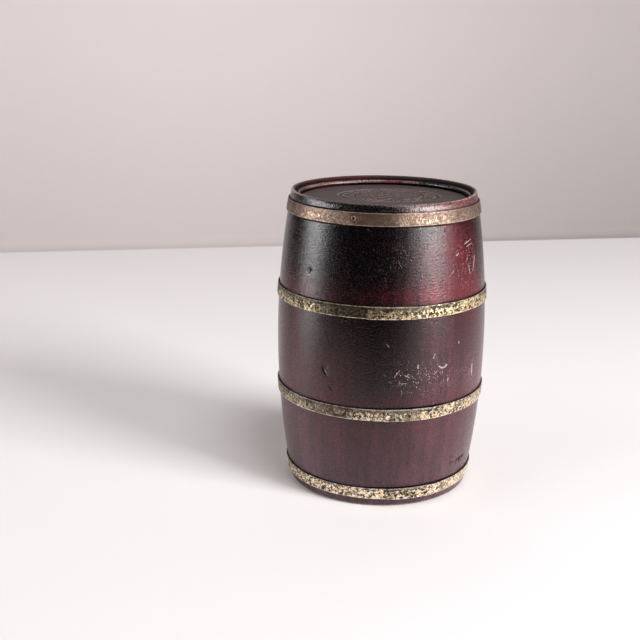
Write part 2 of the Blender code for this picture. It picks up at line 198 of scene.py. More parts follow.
# %% [markdown]
# ## The table and the wall
# The barrel stands on a plain white table, with a pale, slightly pink wall behind it. Two planes would
# meet in a hard line, but in the photograph that line is soft, so the table is drawn as one sheet that
# turns up into the wall in a small curve. Three points give its side view, a bevel rounds the corner, and
# an extrusion gives it its width. The wall was not square to the camera, so the sheet is turned a little.
# Its colour changes with height from the table's white to the wall's. The table is painted darker towards
# the back, and the wall darker towards the right and near its foot, as painted shade.

# %% The table and the wall
TABLE_FRONT, WALL_PLACE, WALL_HEIGHT = -2.5, 0.66, 1.6
SHEET_WIDTH = 6.0
COVE_RADIUS = 14.0 * MM
WALL_TURN = 12.3


def sweep(bm, way):
    """Extrude all edges of a mesh along a vector."""
    made = bmesh.ops.extrude_edge_only(bm, edges=bm.edges)["geom"]
    bmesh.ops.translate(bm, vec=way, verts=[part for part in made if isinstance(part, bmesh.types.BMVert)])


def to_object(name, bm):
    """Make a mesh into an object of the scene."""
    mesh = bpy.data.meshes.new(name)
    bm.to_mesh(mesh)
    bm.free()
    item = bpy.data.objects.new(name, mesh)
    scene.collection.objects.link(item)
    return item


bm = bmesh.new()
side_view = ((TABLE_FRONT, 0.0), (WALL_PLACE, 0.0), (WALL_PLACE, WALL_HEIGHT))
corners = [bm.verts.new((-SHEET_WIDTH / 2, *at)) for at in side_view]
for pair in zip(corners, corners[1:]):
    bm.edges.new(pair)
bmesh.ops.bevel(
    bm, geom=[corners[1]], offset=COVE_RADIUS, segments=8, profile=0.5, affect="VERTICES", material=-1
)
sweep(bm, (SHEET_WIDTH, 0.0, 0.0))
turn = Matrix.Rotation(math.radians(WALL_TURN), 3, "Z")
bmesh.ops.rotate(bm, cent=(0.0, WALL_PLACE, 0.0), matrix=turn, verts=bm.verts)
bmesh.ops.recalc_face_normals(bm, faces=bm.faces)
table = to_object("table_and_wall", bm)
table.data.shade_smooth()

paper, tree, shader, coords = start_material("table_and_wall")
across, away, up = split(coords)
tint = cloud(coords, 3.0)
white = blend(tint, (0.885, 0.857, 0.862), (0.91, 0.88, 0.885))
# Painted shade: the table darker towards the back.
white = blend(fade(away, 0.05, 0.65), white, (0.80, 0.77, 0.775))
# Painted shade: the wall darker towards the right.
wall = blend(fade(across, -0.30, 0.40), (0.55, 0.492, 0.484), (0.325, 0.289, 0.283))
# Painted shade: the wall darker near its foot.
wall = blend(fade(up, 0.25, 0.0), wall, (0.88, 0.88, 0.88), "MULTIPLY")
shade = blend(fade(up, 0.0, 1.2 * MM), white, wall)
tree.links.new(shade, shader["Base Color"])
shader["Roughness"].default_value = 0.75
shader["Specular IOR Level"].default_value = 0.25
table.data.materials.append(paper)
print("table:", len(table.data.polygons), "faces")

# %% [markdown]
# ## The light
# A large soft window on the right, a little in front of the barrel, gives the broad highlight on the right
# of the wood and the long soft shadow to the left. A smaller and weaker window on the left gives the grey
# highlight there. Between them the room is dark, and so the middle of the barrel is nearly black. A third
# lamp, high in front, lights the white table and the lid, and a weak fill on the left softens the shadow
# without showing in the gloss. The white floor would show in the varnish, but in the photograph it hardly
# does, so black cards stand where the dark room would be. Only reflections see them, as with the cards
# that hold reflections back in a studio.

# %% The light
UP = Vector((0.0, 0.0, 1.0))
LIT_PLACE = UP * (80.0 * MM)


def outward(azimuth):
    """Level direction away from the axis, with azimuth in degrees from the front towards +X."""
    a = math.radians(azimuth)
    return Vector((math.sin(a), -math.cos(a), 0.0))


def face_along(direction):
    """A turn that brings Z into a direction."""
    return direction.to_track_quat("Z", "Y").to_matrix().to_4x4()


def add_window(name, azimuth, elevation, distance, width, height, radiance):
    """A rectangular lamp that faces the barrel from an azimuth, an elevation and a distance."""
    lamp = bpy.data.lights.new(name, "AREA")
    lamp.shape = "RECTANGLE"
    lamp.size, lamp.size_y = width, height
    lamp.energy = radiance * math.pi * width * height
    rise = math.radians(elevation)
    away = outward(azimuth) * math.cos(rise) + UP * math.sin(rise)
    window = bpy.data.objects.new(name, lamp)
    window.matrix_world = Matrix.Translation(LIT_PLACE + away * distance) @ face_along(away)
    scene.collection.objects.link(window)
    return window


add_window("right_window", 59.0, 18.0, 1.8, 0.74, 1.00, 20.8)
left_window = add_window("left_window", -84.0, 12.0, 1.8, 0.46, 1.00, 17.0)
left_window.visible_diffuse = False
left_fill = add_window("left_fill", -70.0, 25.0, 1.6, 1.3, 1.2, 1.7)
left_fill.visible_glossy = False
add_window("lamp_above", 32.0, 66.0, 1.8, 0.6, 0.6, 10.0)
world = bpy.data.worlds.new("dim_room")
scene.world = world
world.use_nodes = True
world.node_tree.nodes["Background"].inputs["Color"].default_value = (0.035, 0.033, 0.033, 1.0)

# %% The black cards
card_finish, tree, shader, coords = start_material("black_card")
nap = blend(cloud(coords, 200.0), (0.004, 0.004, 0.004), (0.010, 0.009, 0.009))
tree.links.new(nap, shader["Base Color"])
shader["Roughness"].default_value = 0.9

CARD_HEIGHT = 1.0
CARDS = {
    "front": ((-0.45, -0.25), (0.11, -0.25)),
    "left": ((-0.55, 0.05), (-0.55, 0.65)),
    "right": ((0.55, 0.05), (0.55, 0.65)),
}
for side, (start, end) in CARDS.items():
    bm = bmesh.new()
    bm.edges.new([bm.verts.new((*corner, 0.0)) for corner in (start, end)])
    sweep(bm, UP * CARD_HEIGHT)
    card = to_object("black_card_" + side, bm)
    card.data.materials.append(card_finish)
    card.visible_camera = card.visible_diffuse = False
    card.visible_shadow = card.visible_transmission = False
print("cards:", sorted(CARDS))

# %% [markdown]
# ## Shared effects
# Wood grain runs through the lacquer, the head panel and the bare wood, so it is one group: long streaks,
# fine fibres and short dark pores, all stretched along the group's own Z. Specks are round spots kept in
# some cells of a Voronoi pattern, and serve as dust on the lacquer, pits in the brass and spots on metal.
# Scratches are short lines, one in some cells of a flat Voronoi pattern, each leaning its own way. A stroke
# is a single line with a place of its own, for the few marks that can be told apart.


# %% Wood grain
def make_wood_grain():
    inputs = {"Vector": (0.0, 0.0, 0.0), "Scale": 900.0, "Stretch": 40.0}
    tree, given, made = start_group("wood_grain", inputs, ("Streaks", "Fibres", "Pores"))
    along = calc("DIVIDE", given["Scale"], given["Stretch"])
    size = put(tree, "CombineXYZ", {0: given["Scale"], 1: given["Scale"], 2: along})
    fibre_place = join("MULTIPLY", given["Vector"], size)
    streak_place = join("MULTIPLY", fibre_place, (0.14, 0.14, 0.14))
    pore_place = join("MULTIPLY", fibre_place, (0.9, 0.9, 5.0))
    tree.links.new(cloud(streak_place, 1.0, 4.0), made["Streaks"])
    tree.links.new(cloud(fibre_place, 1.0, 5.0, 0.65), made["Fibres"])
    tree.links.new(fade(cloud(pore_place, 1.0, 2.0), 0.60, 0.72), made["Pores"])
    return tree


wood_grain = make_wood_grain()
print("group:", wood_grain.name)


# %% Specks
def make_specks():
    inputs = {"Vector": (0.0, 0.0, 0.0), "Scale": 500.0, "Size": 0.3, "Cover": 0.3}
    tree, given, made = start_group("specks", inputs, ("Mask",))
    cell = put(tree, "TexVoronoi", {"Vector": given["Vector"], "Scale": given["Scale"]}).node
    chance = chances(cell)
    size = times(given["Size"], fade(chance[1], 0.0, 1.0, 0.4, 1.0))
    spot = fade(cell.outputs["Distance"], size, times(size, 0.5))
    chosen = calc("LESS_THAN", chance[0], given["Cover"])
    tree.links.new(times(spot, chosen), made["Mask"])
    return tree


specks = make_specks()
print("group:", specks.name)


# %% Scratches
def off_line(vector, centre, angle):
    """How far a place lies across and along a line, from the line's centre and its angle."""
    local = join("SUBTRACT", vector, centre)
    turned = put(vector.id_data, "VectorRotate", {"Vector": local, "Angle": angle}, rotation_type="Z_AXIS")
    return [calc("ABSOLUTE", part) for part in split(turned)[:2]]


def make_scratches():
    inputs = {
        "Vector": (0.0, 0.0, 0.0), "Scale": 120.0, "Width": 0.2 * MM, "Length": 3.0 * MM, "Cover": 0.3,
        "Spread": 6.0,
    }
    tree, given, made = start_group("scratches", inputs, ("Mask",))
    wobble = put(tree, "TexNoise", {"Vector": given["Vector"], "Scale": 250.0}, output="Color")
    shake = join("MULTIPLY", wobble, (0.0012, 0.0012, 0.0))
    bent = join("ADD", given["Vector"], shake)
    cell = put(tree, "TexVoronoi", {"Vector": bent, "Scale": given["Scale"]}, voronoi_dimensions="2D").node
    chance = chances(cell)
    turn = times(minus(chance[0], 0.5), given["Spread"])
    across, along = off_line(bent, cell.outputs["Position"], turn)
    reach = times(given["Length"], fade(chance[2], 0.2, 1.1, 0.1, 1.0))
    thin = fade(across, given["Width"], times(given["Width"], 0.3))
    short = fade(along, reach, times(reach, 0.6))
    chosen = calc("LESS_THAN", chance[1], given["Cover"])
    tree.links.new(times(times(thin, short), chosen), made["Mask"])
    return tree


scratches = make_scratches()
print("group:", scratches.name)


# %% Strokes
def make_stroke():
    inputs = {
        "Vector": (0.0, 0.0, 0.0), "Round": 0.0, "Up": 0.0, "Lean": 0.0, "Length": 3.0 * MM,
        "Width": 0.5 * MM,
    }
    tree, given, made = start_group("stroke", inputs, ("Mask",))
    centre = put(tree, "CombineXYZ", {0: given["Round"], 1: given["Up"]})
    aside, along = off_line(given["Vector"], centre, given["Lean"])
    across, along = calc("DIVIDE", aside, given["Width"]), calc("DIVIDE", along, given["Length"])
    tapered = plus(across, times(along, 0.5))
    mark = times(fade(tapered, 0.7, 0.25), fade(along, 0.5, 0.4))
    tree.links.new(mark, made["Mask"])
    return tree


def add_strokes(flat, strokes):
    """All of a list of strokes: (azimuth, height in mm, lean in degrees, length in mm, width in mm)."""
    total = 0.0
    for azimuth, height, lean, length, width in strokes:
        made = place(
            stroke, Vector=flat, Round=math.radians(azimuth) * BILGE_RADIUS, Up=height * MM,
            Lean=math.radians(lean), Length=length * MM, Width=width * MM,
        )
        total = most(made["Mask"], total)
    return total


stroke = make_stroke()
print("group:", stroke.name)

# %% [markdown]
# ## Old lacquer
# The wood was stained nearly black and varnished over a red ground. Where hands have thinned the dark coat
# the red shows, and the red is also painted where the windows light the sides, while the front that they
# leave in shade stays near black, so the red is partly painted light. Low down the varnish has bloomed to a
# dusty mauve, which grows paler towards the foot and is partly a painted reflection of the white table.
# Turning marks run round the wood, the grain runs up it, and both roughen the satin gloss. Where each kind
# of wear, painted light and painted shade lies is painted on the mesh as attributes, for the red, the bloom,
# the scuffs, a darkened patch on the front, dirt and shade, and bare edges, and noise breaks up their edges.
# A picture of the surface would only fit one side, and this way the whole barrel carries the same wear. The
# few scratches and marks that stand out by themselves are listed as strokes, light ones and dark ones; a few
# light ones are painted highlights on the rims of knocks. Most dark strokes are painted shade in the knocks,
# and they and the painted shade along the top of each strip are black and metallic, so that they give
# nothing back.
# Hands have polished the lid, so its gloss is stronger, and the inside of its rim takes a dull copy of the
# lacquer that gives back little light, as painted shade.

# %% Marks that stand out
# Light strokes: scratches, and on the rims of knocks a few painted highlights.
LIGHT_STROKES = [
    (55.2, 142.6, 77, 8.0, 0.6), (57.0, 140.7, 79, 7.0, 0.5), (60.2, 130.2, 20, 10.0, 0.7),
    (55.1, 127.8, -12, 6.0, 0.5), (45.0, 137.2, 60, 2.0, 0.8), (40.3, 128.0, 49, 5.0, 0.4),
    (9.0, 77.9, 32, 5.5, 0.5), (14.4, 76.0, -72, 3.2, 0.5), (12.2, 72.4, -78, 5.0, 0.4),
    (33.5, 79.1, -67, 3.8, 1.1), (36.0, 79.2, 60, 3.6, 1.2), (59.0, 72.5, -1, 8.5, 1.0),
    (45.5, 91.0, 0, 1.6, 0.8), (20.1, 81.1, 0, 2.2, 0.7), (3.8, 93.0, -40, 2.8, 0.3),
    (-40.6, 127.0, 20, 2.6, 0.5), (38.3, 71.5, 30, 1.8, 0.7), (30.0, 76.5, 50, 3.2, 0.4),
    (29.0, 86.0, 25, 3.6, 0.4), (-28.9, 75.4, -30, 4.4, 0.4), (-140, 80, 35, 7.0, 0.5),
    (165, 110, -20, 9.0, 0.5), (120, 128, 60, 5.0, 0.4), (-95, 62, 15, 6.0, 0.5),
]
# Dark strokes: mostly painted shade in the knocks, with a few dark scratches.
SHADE_AND_DARK_STROKES = [
    (-30.4, 75.9, -34, 5.4, 1.1), (-26.4, 66.9, -50, 3.6, 0.9), (38.4, 132.0, -3, 3.0, 0.4),
    (48.3, 20.2, 40, 2.2, 1.4), (51.4, 20.1, 60, 1.8, 1.0), (54.4, 20.1, 70, 2.2, 1.3),
    (57.6, 20.1, 50, 3.4, 2.2), (61.2, 20.7, 60, 2.6, 1.6), (54.0, 17.8, 60, 2.0, 1.3),
    (48.2, 24.2, 60, 1.4, 0.9), (60.9, 13.4, 0, 3.6, 0.6), (-42.2, 127.6, 25, 3.0, 1.0),
    (150, 70, 30, 4.0, 0.8), (-110, 118, -45, 3.5, 0.8),
]
STRIP_TOPS = [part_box("hoop_" + label)[1].z for label in ("lid", "upper", "lower", "base")]
print("strokes:", len(LIGHT_STROKES) + len(SHADE_AND_DARK_STROKES))


# %% Old lacquer
def attribute(tree, name):
    """A value that was painted on the mesh."""
    return put(tree, "Attribute", {}, output="Fac", attribute_name=name)


def make_lacquer(name, smooth, rough, depth, shine, weave):
    """A lacquer: its least and most roughness, relief in mm, specular level and the scale of its marks."""
    material, tree, shader, coords = start_material(name)
    height = split(coords)["Z"]
    flat = put(tree, "UVMap", {}, uv_map="around")
    wobble = put(tree, "TexNoise", {"Vector": flat, "Scale": 600.0}, output="Color")
    shake = join("SUBTRACT", wobble, (0.5, 0.5, 0.5))
    shaken = join("ADD", flat, join("MULTIPLY", shake, (1.6 * MM, 1.6 * MM, 0.0)))
    grain = place(wood_grain, Vector=coords, Scale=1500.0, Stretch=25.0)
    turning = cloud(join("MULTIPLY", coords, weave), 1.0, 2.0)
    sand = cloud(coords, 1700.0, 2.0, 0.6)
    broad = cloud(coords, 45.0, 4.0)
    streaky = fade(grain["Streaks"], 0.3, 0.7)
    uneven = times(plus(broad, grain["Fibres"]), 0.35)
    uneven = plus(uneven, times(streaky, 0.3))

    dark = blend(grain["Streaks"], (0.0006, 0.0005, 0.0005), (0.0030, 0.0015, 0.0019))
    # Painted light in part: the red is strongest where the windows light the sides, and the front stays near
    # black.
    worn = times(attribute(tree, "rub"), fade(uneven, 0.25, 0.75, 0.70, 1.24))
    colour = blend(fade(worn, 0.0, 1.15), dark, (0.115, 0.010, 0.016))
    # Painted reflection in part: the bloom and its paler mauve towards the foot stand for the white table's
    # reflection.
    haze_and_reflection = times(attribute(tree, "bloom"), fade(uneven, 0.27, 0.73, 0.55, 1.10))
    mauve = blend(fade(height, 60.0 * MM, 10.0 * MM), (0.116, 0.024, 0.036), (0.122, 0.048, 0.064))
    colour = blend(haze_and_reflection, colour, mauve)
    pepper = place(specks, Vector=coords, Scale=1100.0, Size=0.40, Cover=0.35)
    holes = most(times(grain["Pores"], 0.4), times(pepper["Mask"], 0.6))
    colour = blend(holes, colour, (0.006, 0.003, 0.003))
    scuffed = fade(attribute(tree, "scuff"), 0.1, 0.9)
    dust = place(specks, Vector=coords, Scale=1200.0, Size=0.42, Cover=0.5)
    lines = place(
        scratches, Vector=flat, Scale=120.0, Width=0.17 * MM, Length=3.5 * MM, Cover=0.45, Spread=1.8
    )
    colour = blend(times(dust["Mask"], scuffed), colour, (0.40, 0.32, 0.33))
    colour = blend(times(lines["Mask"], scuffed), colour, (0.42, 0.33, 0.34))
    bare = times(attribute(tree, "edge"), fade(sand, 0.44, 0.56, 0.15, 1.0))
    colour = blend(bare, colour, (0.46, 0.30, 0.27))
    broken = fade(sand, 0.38, 0.54, 0.25, 0.9)
    # A few light strokes are painted highlights on the rims of knocks; the rest are scratches.
    light = times(add_strokes(shaken, LIGHT_STROKES), broken)
    colour = blend(light, colour, (0.50, 0.40, 0.40))
    # Painted shade: the dark strokes in the knocks, and a line just above each strip's top, partly dirt,
    # where the strip stands off the wood.
    nicks_and_shade = add_strokes(shaken, SHADE_AND_DARK_STROKES)
    for top in STRIP_TOPS:
        away = calc("ABSOLUTE", minus(height, top + 0.1 * MM))
        gap_shade = times(fade(away, 0.9 * MM, 0.4 * MM), fade(broad, 0.35, 0.6, 0.3, 0.95))
        nicks_and_shade = most(nicks_and_shade, gap_shade)
    # Painted shade in the knocks and the darker sides of the lid's bevel join the dark marks, and all darken
    # the colour.
    dark_share = most(attribute(tree, "dirt_and_shade"), nicks_and_shade)
    colour = blend(dark_share, colour, (0.002, 0.001, 0.001))
    # Painted shade: a patch on the front is made metallic over the dark base, so it gives back less light.
    dull = most(attribute(tree, "sunk"), times(holes, 0.8))
    tree.links.new(most(nicks_and_shade, dull), shader["Metallic"])
    shader["Specular IOR Level"].default_value = shine

    gloss = fade(sand, 0.46, 0.62, smooth, rough)
    matt = plus(times(haze_and_reflection, 0.08), times(dark_share, 0.4))
    relief = minus(plus(turning, times(sand, 0.8)), times(pepper["Mask"], 0.5))
    dress(shader, colour, plus(gloss, matt), relief, 1.0, depth)
    return material


old_lacquer = make_lacquer("old_lacquer", 0.12, 0.29, 0.16, 0.47, (380.0, 380.0, 2200.0))
handled_lacquer = make_lacquer("handled_lacquer", 0.10, 0.30, 0.16, 0.6, (1500.0, 1500.0, 300.0))
# A dull copy of the lacquer with little gloss, for the bevel and the drop inside the lid's rim: painted
# shade.
dull_shaded_lacquer = make_lacquer("dull_shaded_lacquer", 0.65, 0.85, 0.25, 0.1, (380.0, 380.0, 2200.0))
print("finishes:", old_lacquer.name, handled_lacquer.name, dull_shaded_lacquer.name)

# %% [markdown]
# ## Bare and stained wood
# Inside, where no varnish was put, the mahogany is bare and pale brown. The disc let into the lid is the
# same wood under a thin matt stain, with its grain from side to side. Both use the grain group: one along
# Z, as the barrel was turned, and one turned on its side by a Mapping node.

# %% Bare and stained wood
def make_bare_wood():
    material, _, shader, coords = start_material("bare_wood")
    grain = place(wood_grain, Vector=coords, Scale=800.0, Stretch=30.0)
    colour = blend(grain["Streaks"], (0.17, 0.075, 0.040), (0.33, 0.17, 0.095))
    colour = blend(times(grain["Pores"], 0.6), colour, (0.07, 0.03, 0.018))
    dress(shader, colour, fade(grain["Fibres"], 0.2, 0.8, 0.55, 0.8), grain["Fibres"], 0.5, 0.06)
    return material


def make_stained_head():
    material, tree, shader, coords = start_material("stained_head")
    sideways = put(tree, "Mapping", {"Vector": coords, "Rotation": (0.0, math.radians(90.0), 0.0)})
    grain = place(wood_grain, Vector=sideways, Scale=900.0, Stretch=28.0)
    broad = cloud(coords, 60.0)
    sand = cloud(coords, 900.0, 2.0, 0.6)
    colour = blend(grain["Streaks"], (0.012, 0.0062, 0.0065), (0.053, 0.029, 0.0300))
    colour = blend(fade(sand, 0.53, 0.62, 0.0, 0.75), colour, (0.125, 0.076, 0.075))
    colour = blend(fade(sand, 0.46, 0.36, 0.0, 0.8), colour, (0.008, 0.005, 0.005))
    colour = blend(fade(broad, 0.4, 0.75, 0.0, 0.5), colour, (0.035, 0.020, 0.021))
    colour = blend(times(grain["Pores"], 0.6), colour, (0.014, 0.009, 0.009))
    # Painted shade at the bottom of the pressed marks, and a painted highlight on their sides.
    pressed = attribute(tree, "pressed")
    sides = times(fade(pressed, 0.15, 0.3), fade(pressed, 0.75, 0.5))
    rubbed = times(sides, fade(sand, 0.42, 0.60, 0.2, 1.0))
    colour = blend(rubbed, colour, (0.21, 0.145, 0.142))
    colour = blend(fade(pressed, 0.6, 0.95), colour, (0.009, 0.005, 0.005))
    matt = fade(grain["Fibres"], 0.2, 0.8, 0.5, 0.75)
    dress(shader, colour, matt, plus(grain["Fibres"], sand), 0.9, 0.25)
    return material


bare_wood = make_bare_wood()
stained_head = make_stained_head()
print("finishes:", bare_wood.name, stained_head.name)

# %% [markdown]
# ## Worn brass
# The strips are thin brass that has tarnished to dark olive. Rubbing has brought it back to gold in flakes
# and fine veins, mostly along the lower half of each strip, and dark pits and cracks are etched between
# them. The mesh carries three attributes: across, from 0 at a strip's lower edge to 1 at its upper edge,
# bright, how much rubbing that stretch has had, and the dirt round the nails. A pale line along the lower
# edge is partly edge wear and partly a painted highlight where that edge catches the light; the fainter one
# along the upper edge is edge wear. The lid's strip has hardly been rubbed, the lower one is paler, and the
# one at the foot has the brightest gold, so they take the same finish with other values. The gold is not a
# full mirror: flaked brass scatters, so part of it is left diffuse.


# %% Worn brass
def make_brass(name, tarnish, film, gold, pale, contrast, etch, bite, metal, gloss):
    """Brass in four colours; contrast is how far the gold stands out, etch how dark the pits are and bite
    the level where they start, metal its least metallic share and gloss its least roughness."""
    material, tree, shader, coords = start_material(name)
    flakes = cloud(coords, 620.0, 3.0, 0.7)
    etching = cloud(coords, 640.0, 2.0, 0.6)
    broad = cloud(coords, 120.0, 3.0)
    glint = cloud(coords, 600.0, 2.0)
    across = attribute(tree, "across")
    bright = attribute(tree, "bright")

    low_side = fade(across, 0.95, 0.45, -0.14, 0.05)
    rubbed = plus(times(bright, 0.55), low_side)
    level = plus(plus(flakes, rubbed), times(broad, 0.3))
    veins = calc("ABSOLUTE", minus(cloud(coords, 480.0, 2.0), 0.5))
    veins = times(fade(veins, 0.05, 0.02), fade(across, 0.85, 0.6, 0.15, 1.0))
    veins = times(veins, fade(bright, 0.05, 0.35, 0.1, 1.0))
    shine = most(fade(level, 0.92, 1.01), veins)
    coat = plus(broad, times(minus(bright, 0.3), 0.9))
    old = blend(fade(coat, 0.35, 0.65), tarnish, film)
    metal_colour = blend(fade(glint, 0.4, 0.7), gold, pale)
    colour = blend(times(shine, contrast), old, metal_colour)

    patchy = times(minus(broad, 0.5), 0.3)
    bites = fade(plus(etching, patchy), bite, bite + 0.03)
    holes = place(specks, Vector=coords, Scale=480.0, Size=0.36, Cover=0.30)
    crackle = put(tree, "TexVoronoi", {"Vector": coords, "Scale": 620.0}, feature="DISTANCE_TO_EDGE")
    cracks = times(fade(crackle, 0.12, 0.05), fade(flakes, 0.60, 0.48))
    eaten = most(most(bites, cracks), holes["Mask"])
    sound = fade(bright, 0.85, 1.0, 1.0, 0.35)
    pits = times(eaten, fade(bright, 0.2, 0.45, 0.5 * etch, etch))
    pits = times(pits, sound)
    pits = most(pits, attribute(tree, "dirt_and_shade"))
    colour = blend(pits, colour, (0.030, 0.014, 0.006))
    # Painted highlight, partly edge wear: a pale line along the lower edge, and a fainter one along the
    # upper.
    edge_wear_and_highlight = most(fade(across, 0.09, 0.03), fade(across, 0.94, 0.98, 0.0, 0.6))
    edge_wear_and_highlight = times(edge_wear_and_highlight, fade(flakes, 0.4, 0.6, 0.15, 0.75))
    colour = blend(edge_wear_and_highlight, colour, pale)
    bare = minus(1.0, pits)
    tree.links.new(times(bare, fade(shine, 0.0, 1.0, metal, min(metal + 0.2, 1.0))), shader["Metallic"])
    shader["Specular IOR Level"].default_value = 0.15
    matt = fade(level, 0.7, 1.1, gloss + 0.1, gloss)
    dress(shader, colour, matt, minus(plus(shine, flakes), pits), 0.7, 0.12)
    return material


worn_brass = make_brass(
    "worn_brass", (0.022, 0.016, 0.011), (0.166, 0.147, 0.118), (0.68, 0.51, 0.28),
    (0.95, 0.82, 0.57), 1.0, 1.0, 0.53, 0.6, 0.40,
)
dull_brass = make_brass(
    "dull_brass", (0.110, 0.070, 0.053), (0.26, 0.180, 0.137), (0.50, 0.37, 0.285),
    (0.66, 0.53, 0.43), 0.5, 0.5, 0.54, 0.8, 0.36,
)
pale_brass = make_brass(
    "pale_brass", (0.046, 0.034, 0.024), (0.21, 0.181, 0.147), (0.78, 0.57, 0.35),
    (1.0, 0.90, 0.76), 1.0, 1.0, 0.55, 0.68, 0.40,
)
pitted_brass = make_brass(
    "pitted_brass", (0.040, 0.029, 0.019), (0.20, 0.166, 0.128), (0.92, 0.69, 0.45),
    (1.0, 0.93, 0.80), 1.0, 1.0, 0.53, 0.62, 0.40,
)
print("finishes:", worn_brass.name, dull_brass.name, pale_brass.name, pitted_brass.name)

# %% [markdown]
# ## Nails, sheet metal, cork and felt
# The nails have tarnished brown, with a pale brass ring round each head that is partly bare brass where
# fingers catch them and partly a painted highlight. The liner is tinned sheet spun on a lathe, and the
# humidifier's dish and cover are nickel-plated pressings: both show fine rings, which come from noise on the
# distance to the axis. Cork is grains of many browns, and felt is pale, tangled wool. Each has a short tree
# of its own, with the shared specks where they fit.


# %% Nails
def make_nail_finish():
    material, tree, shader, coords = start_material("tarnished_nail")
    mottle = cloud(coords, 1400.0, 3.0)
    colour = blend(mottle, (0.018, 0.011, 0.007), (0.070, 0.042, 0.024))
    # Painted highlight, partly bare brass: the pale ring round the head.
    edge = times(attribute(tree, "edge"), fade(mottle, 0.35, 0.65, 0.1, 0.8))
    colour = blend(edge, colour, (0.70, 0.52, 0.28))
    tree.links.new(fade(mottle, 0.3, 0.7, 0.55, 0.85), shader["Metallic"])
    dress(shader, colour, fade(mottle, 0.3, 0.7, 0.55, 0.35), mottle, 0.5, 0.08)
    return material


tarnished_nail = make_nail_finish()
print("finish:", tarnished_nail.name)


# %% Sheet metal
def make_sheet_metal(name, dull, bright, ring_scale, rough, stain):
    """Metal that was spun or pressed on a lathe, with rings about the axis."""
    material, tree, shader, coords = start_material(name)
    x, y, z = split(coords)
    flat = put(tree, "CombineXYZ", {0: x, 1: y})
    reach = put(tree, "VectorMath", {0: flat}, output="Value", operation="LENGTH")
    ring_place = put(tree, "CombineXYZ", {0: reach, 2: z})
    rings = cloud(ring_place, ring_scale, 3.0, 0.7)
    broad = cloud(coords, 90.0, 4.0)
    spots = place(specks, Vector=coords, Scale=300.0, Size=0.35, Cover=0.12)
    colour = blend(rings, dull, bright)
    colour = blend(fade(broad, 0.5, 0.8, 0.0, 0.6), colour, stain)
    colour = blend(times(spots["Mask"], 0.5), colour, stain)
    shader["Metallic"].default_value = 1.0
    dress(shader, colour, fade(broad, 0.3, 0.8, rough, rough + 0.25), rings, 0.35, 0.05)
    return material


tinned_liner = make_sheet_metal(
    "tinned_liner", (0.46, 0.45, 0.43), (0.66, 0.65, 0.62), 900.0, 0.30, (0.25, 0.22, 0.17)
)
plated_sheet = make_sheet_metal(
    "plated_sheet", (0.58, 0.55, 0.49), (0.74, 0.71, 0.64), 1500.0, 0.22, (0.34, 0.28, 0.19)
)
print("finishes:", tinned_liner.name, plated_sheet.name)


# %% Cork and felt
def make_cork():
    material, tree, shader, coords = start_material("granular_cork")
    grain = put(tree, "TexVoronoi", {"Vector": coords, "Scale": 650.0}).node
    chance = chances(grain)
    colour = blend(chance[0], (0.34, 0.19, 0.09), (0.56, 0.37, 0.20))
    colour = blend(fade(chance[1], 0.86, 0.9), colour, (0.10, 0.045, 0.02))
    colour = blend(fade(grain.outputs["Distance"], 0.45, 0.75, 0.0, 0.6), colour, (0.16, 0.08, 0.035))
    dome = fade(grain.outputs["Distance"], 0.8, 0.1)
    dress(shader, colour, fade(chance[2], 0.0, 1.0, 0.75, 0.95), dome, 0.6, 0.25)
    return material


def make_felt():
    material, tree, shader, coords = start_material("wool_felt")
    wool = put(tree, "TexNoise", {"Vector": coords, "Scale": 900.0, "Detail": 6.0, "Distortion": 1.4})
    broad = cloud(coords, 110.0)
    colour = blend(wool, (0.44, 0.39, 0.30), (0.74, 0.69, 0.58))
    colour = blend(fade(broad, 0.5, 0.8, 0.0, 0.5), colour, (0.42, 0.33, 0.20))
    shader["Sheen Weight"].default_value = 0.4
    dress(shader, colour, fade(wool, 0.2, 0.8, 0.85, 1.0), wool, 0.8, 0.4)
    return material


granular_cork = make_cork()
wool_felt = make_felt()
print("finishes:", granular_cork.name, wool_felt.name)

# %% [markdown]
# ## Turning on a lathe
# Nearly every piece here was turned, so one method serves them all: draw half of the section as a few
# points, round its corners with a vertex bevel, and spin it about the axis. The spin merges its last step
# into its first, points that meet on the axis are merged, and only then are the normals recalculated. The
# barrel's side is one edge, cut into many and bowed to the curve that the two ends and the belly give.

# %% Turning on a lathe
WOOD_SEGMENTS = 320
METAL_SEGMENTS = 192


def barrel_radius(height):
    """Radius of the wood: a parabola through the belly and the two ends."""
    t = 2.0 * height / BARREL_HEIGHT - 1.0
    return BILGE_RADIUS - (BILGE_RADIUS - END_RADIUS) * t * t


def round_corner(bm, corner, radius, steps):
    """Round one point of a section, with the radius in mm."""
    bmesh.ops.bevel(
        bm, geom=[corner], offset=radius * MM, segments=steps, profile=0.5, affect="VERTICES", material=-1
    )


def draw_section(points, rounds=None, closed=False, steps=5):
    """Start a mesh with half a section, (radius, height) in mm; rounds gives corners their radius."""
    bm = bmesh.new()
    corners = [bm.verts.new((0.0, -radius * MM, height * MM)) for radius, height in points]
    for pair in zip(corners, corners[1:] + corners[: 1 if closed else 0]):
        bm.edges.new(pair)
    for corner, radius in (rounds or {}).items():
        round_corner(bm, corners[corner], radius, steps)
    return bm


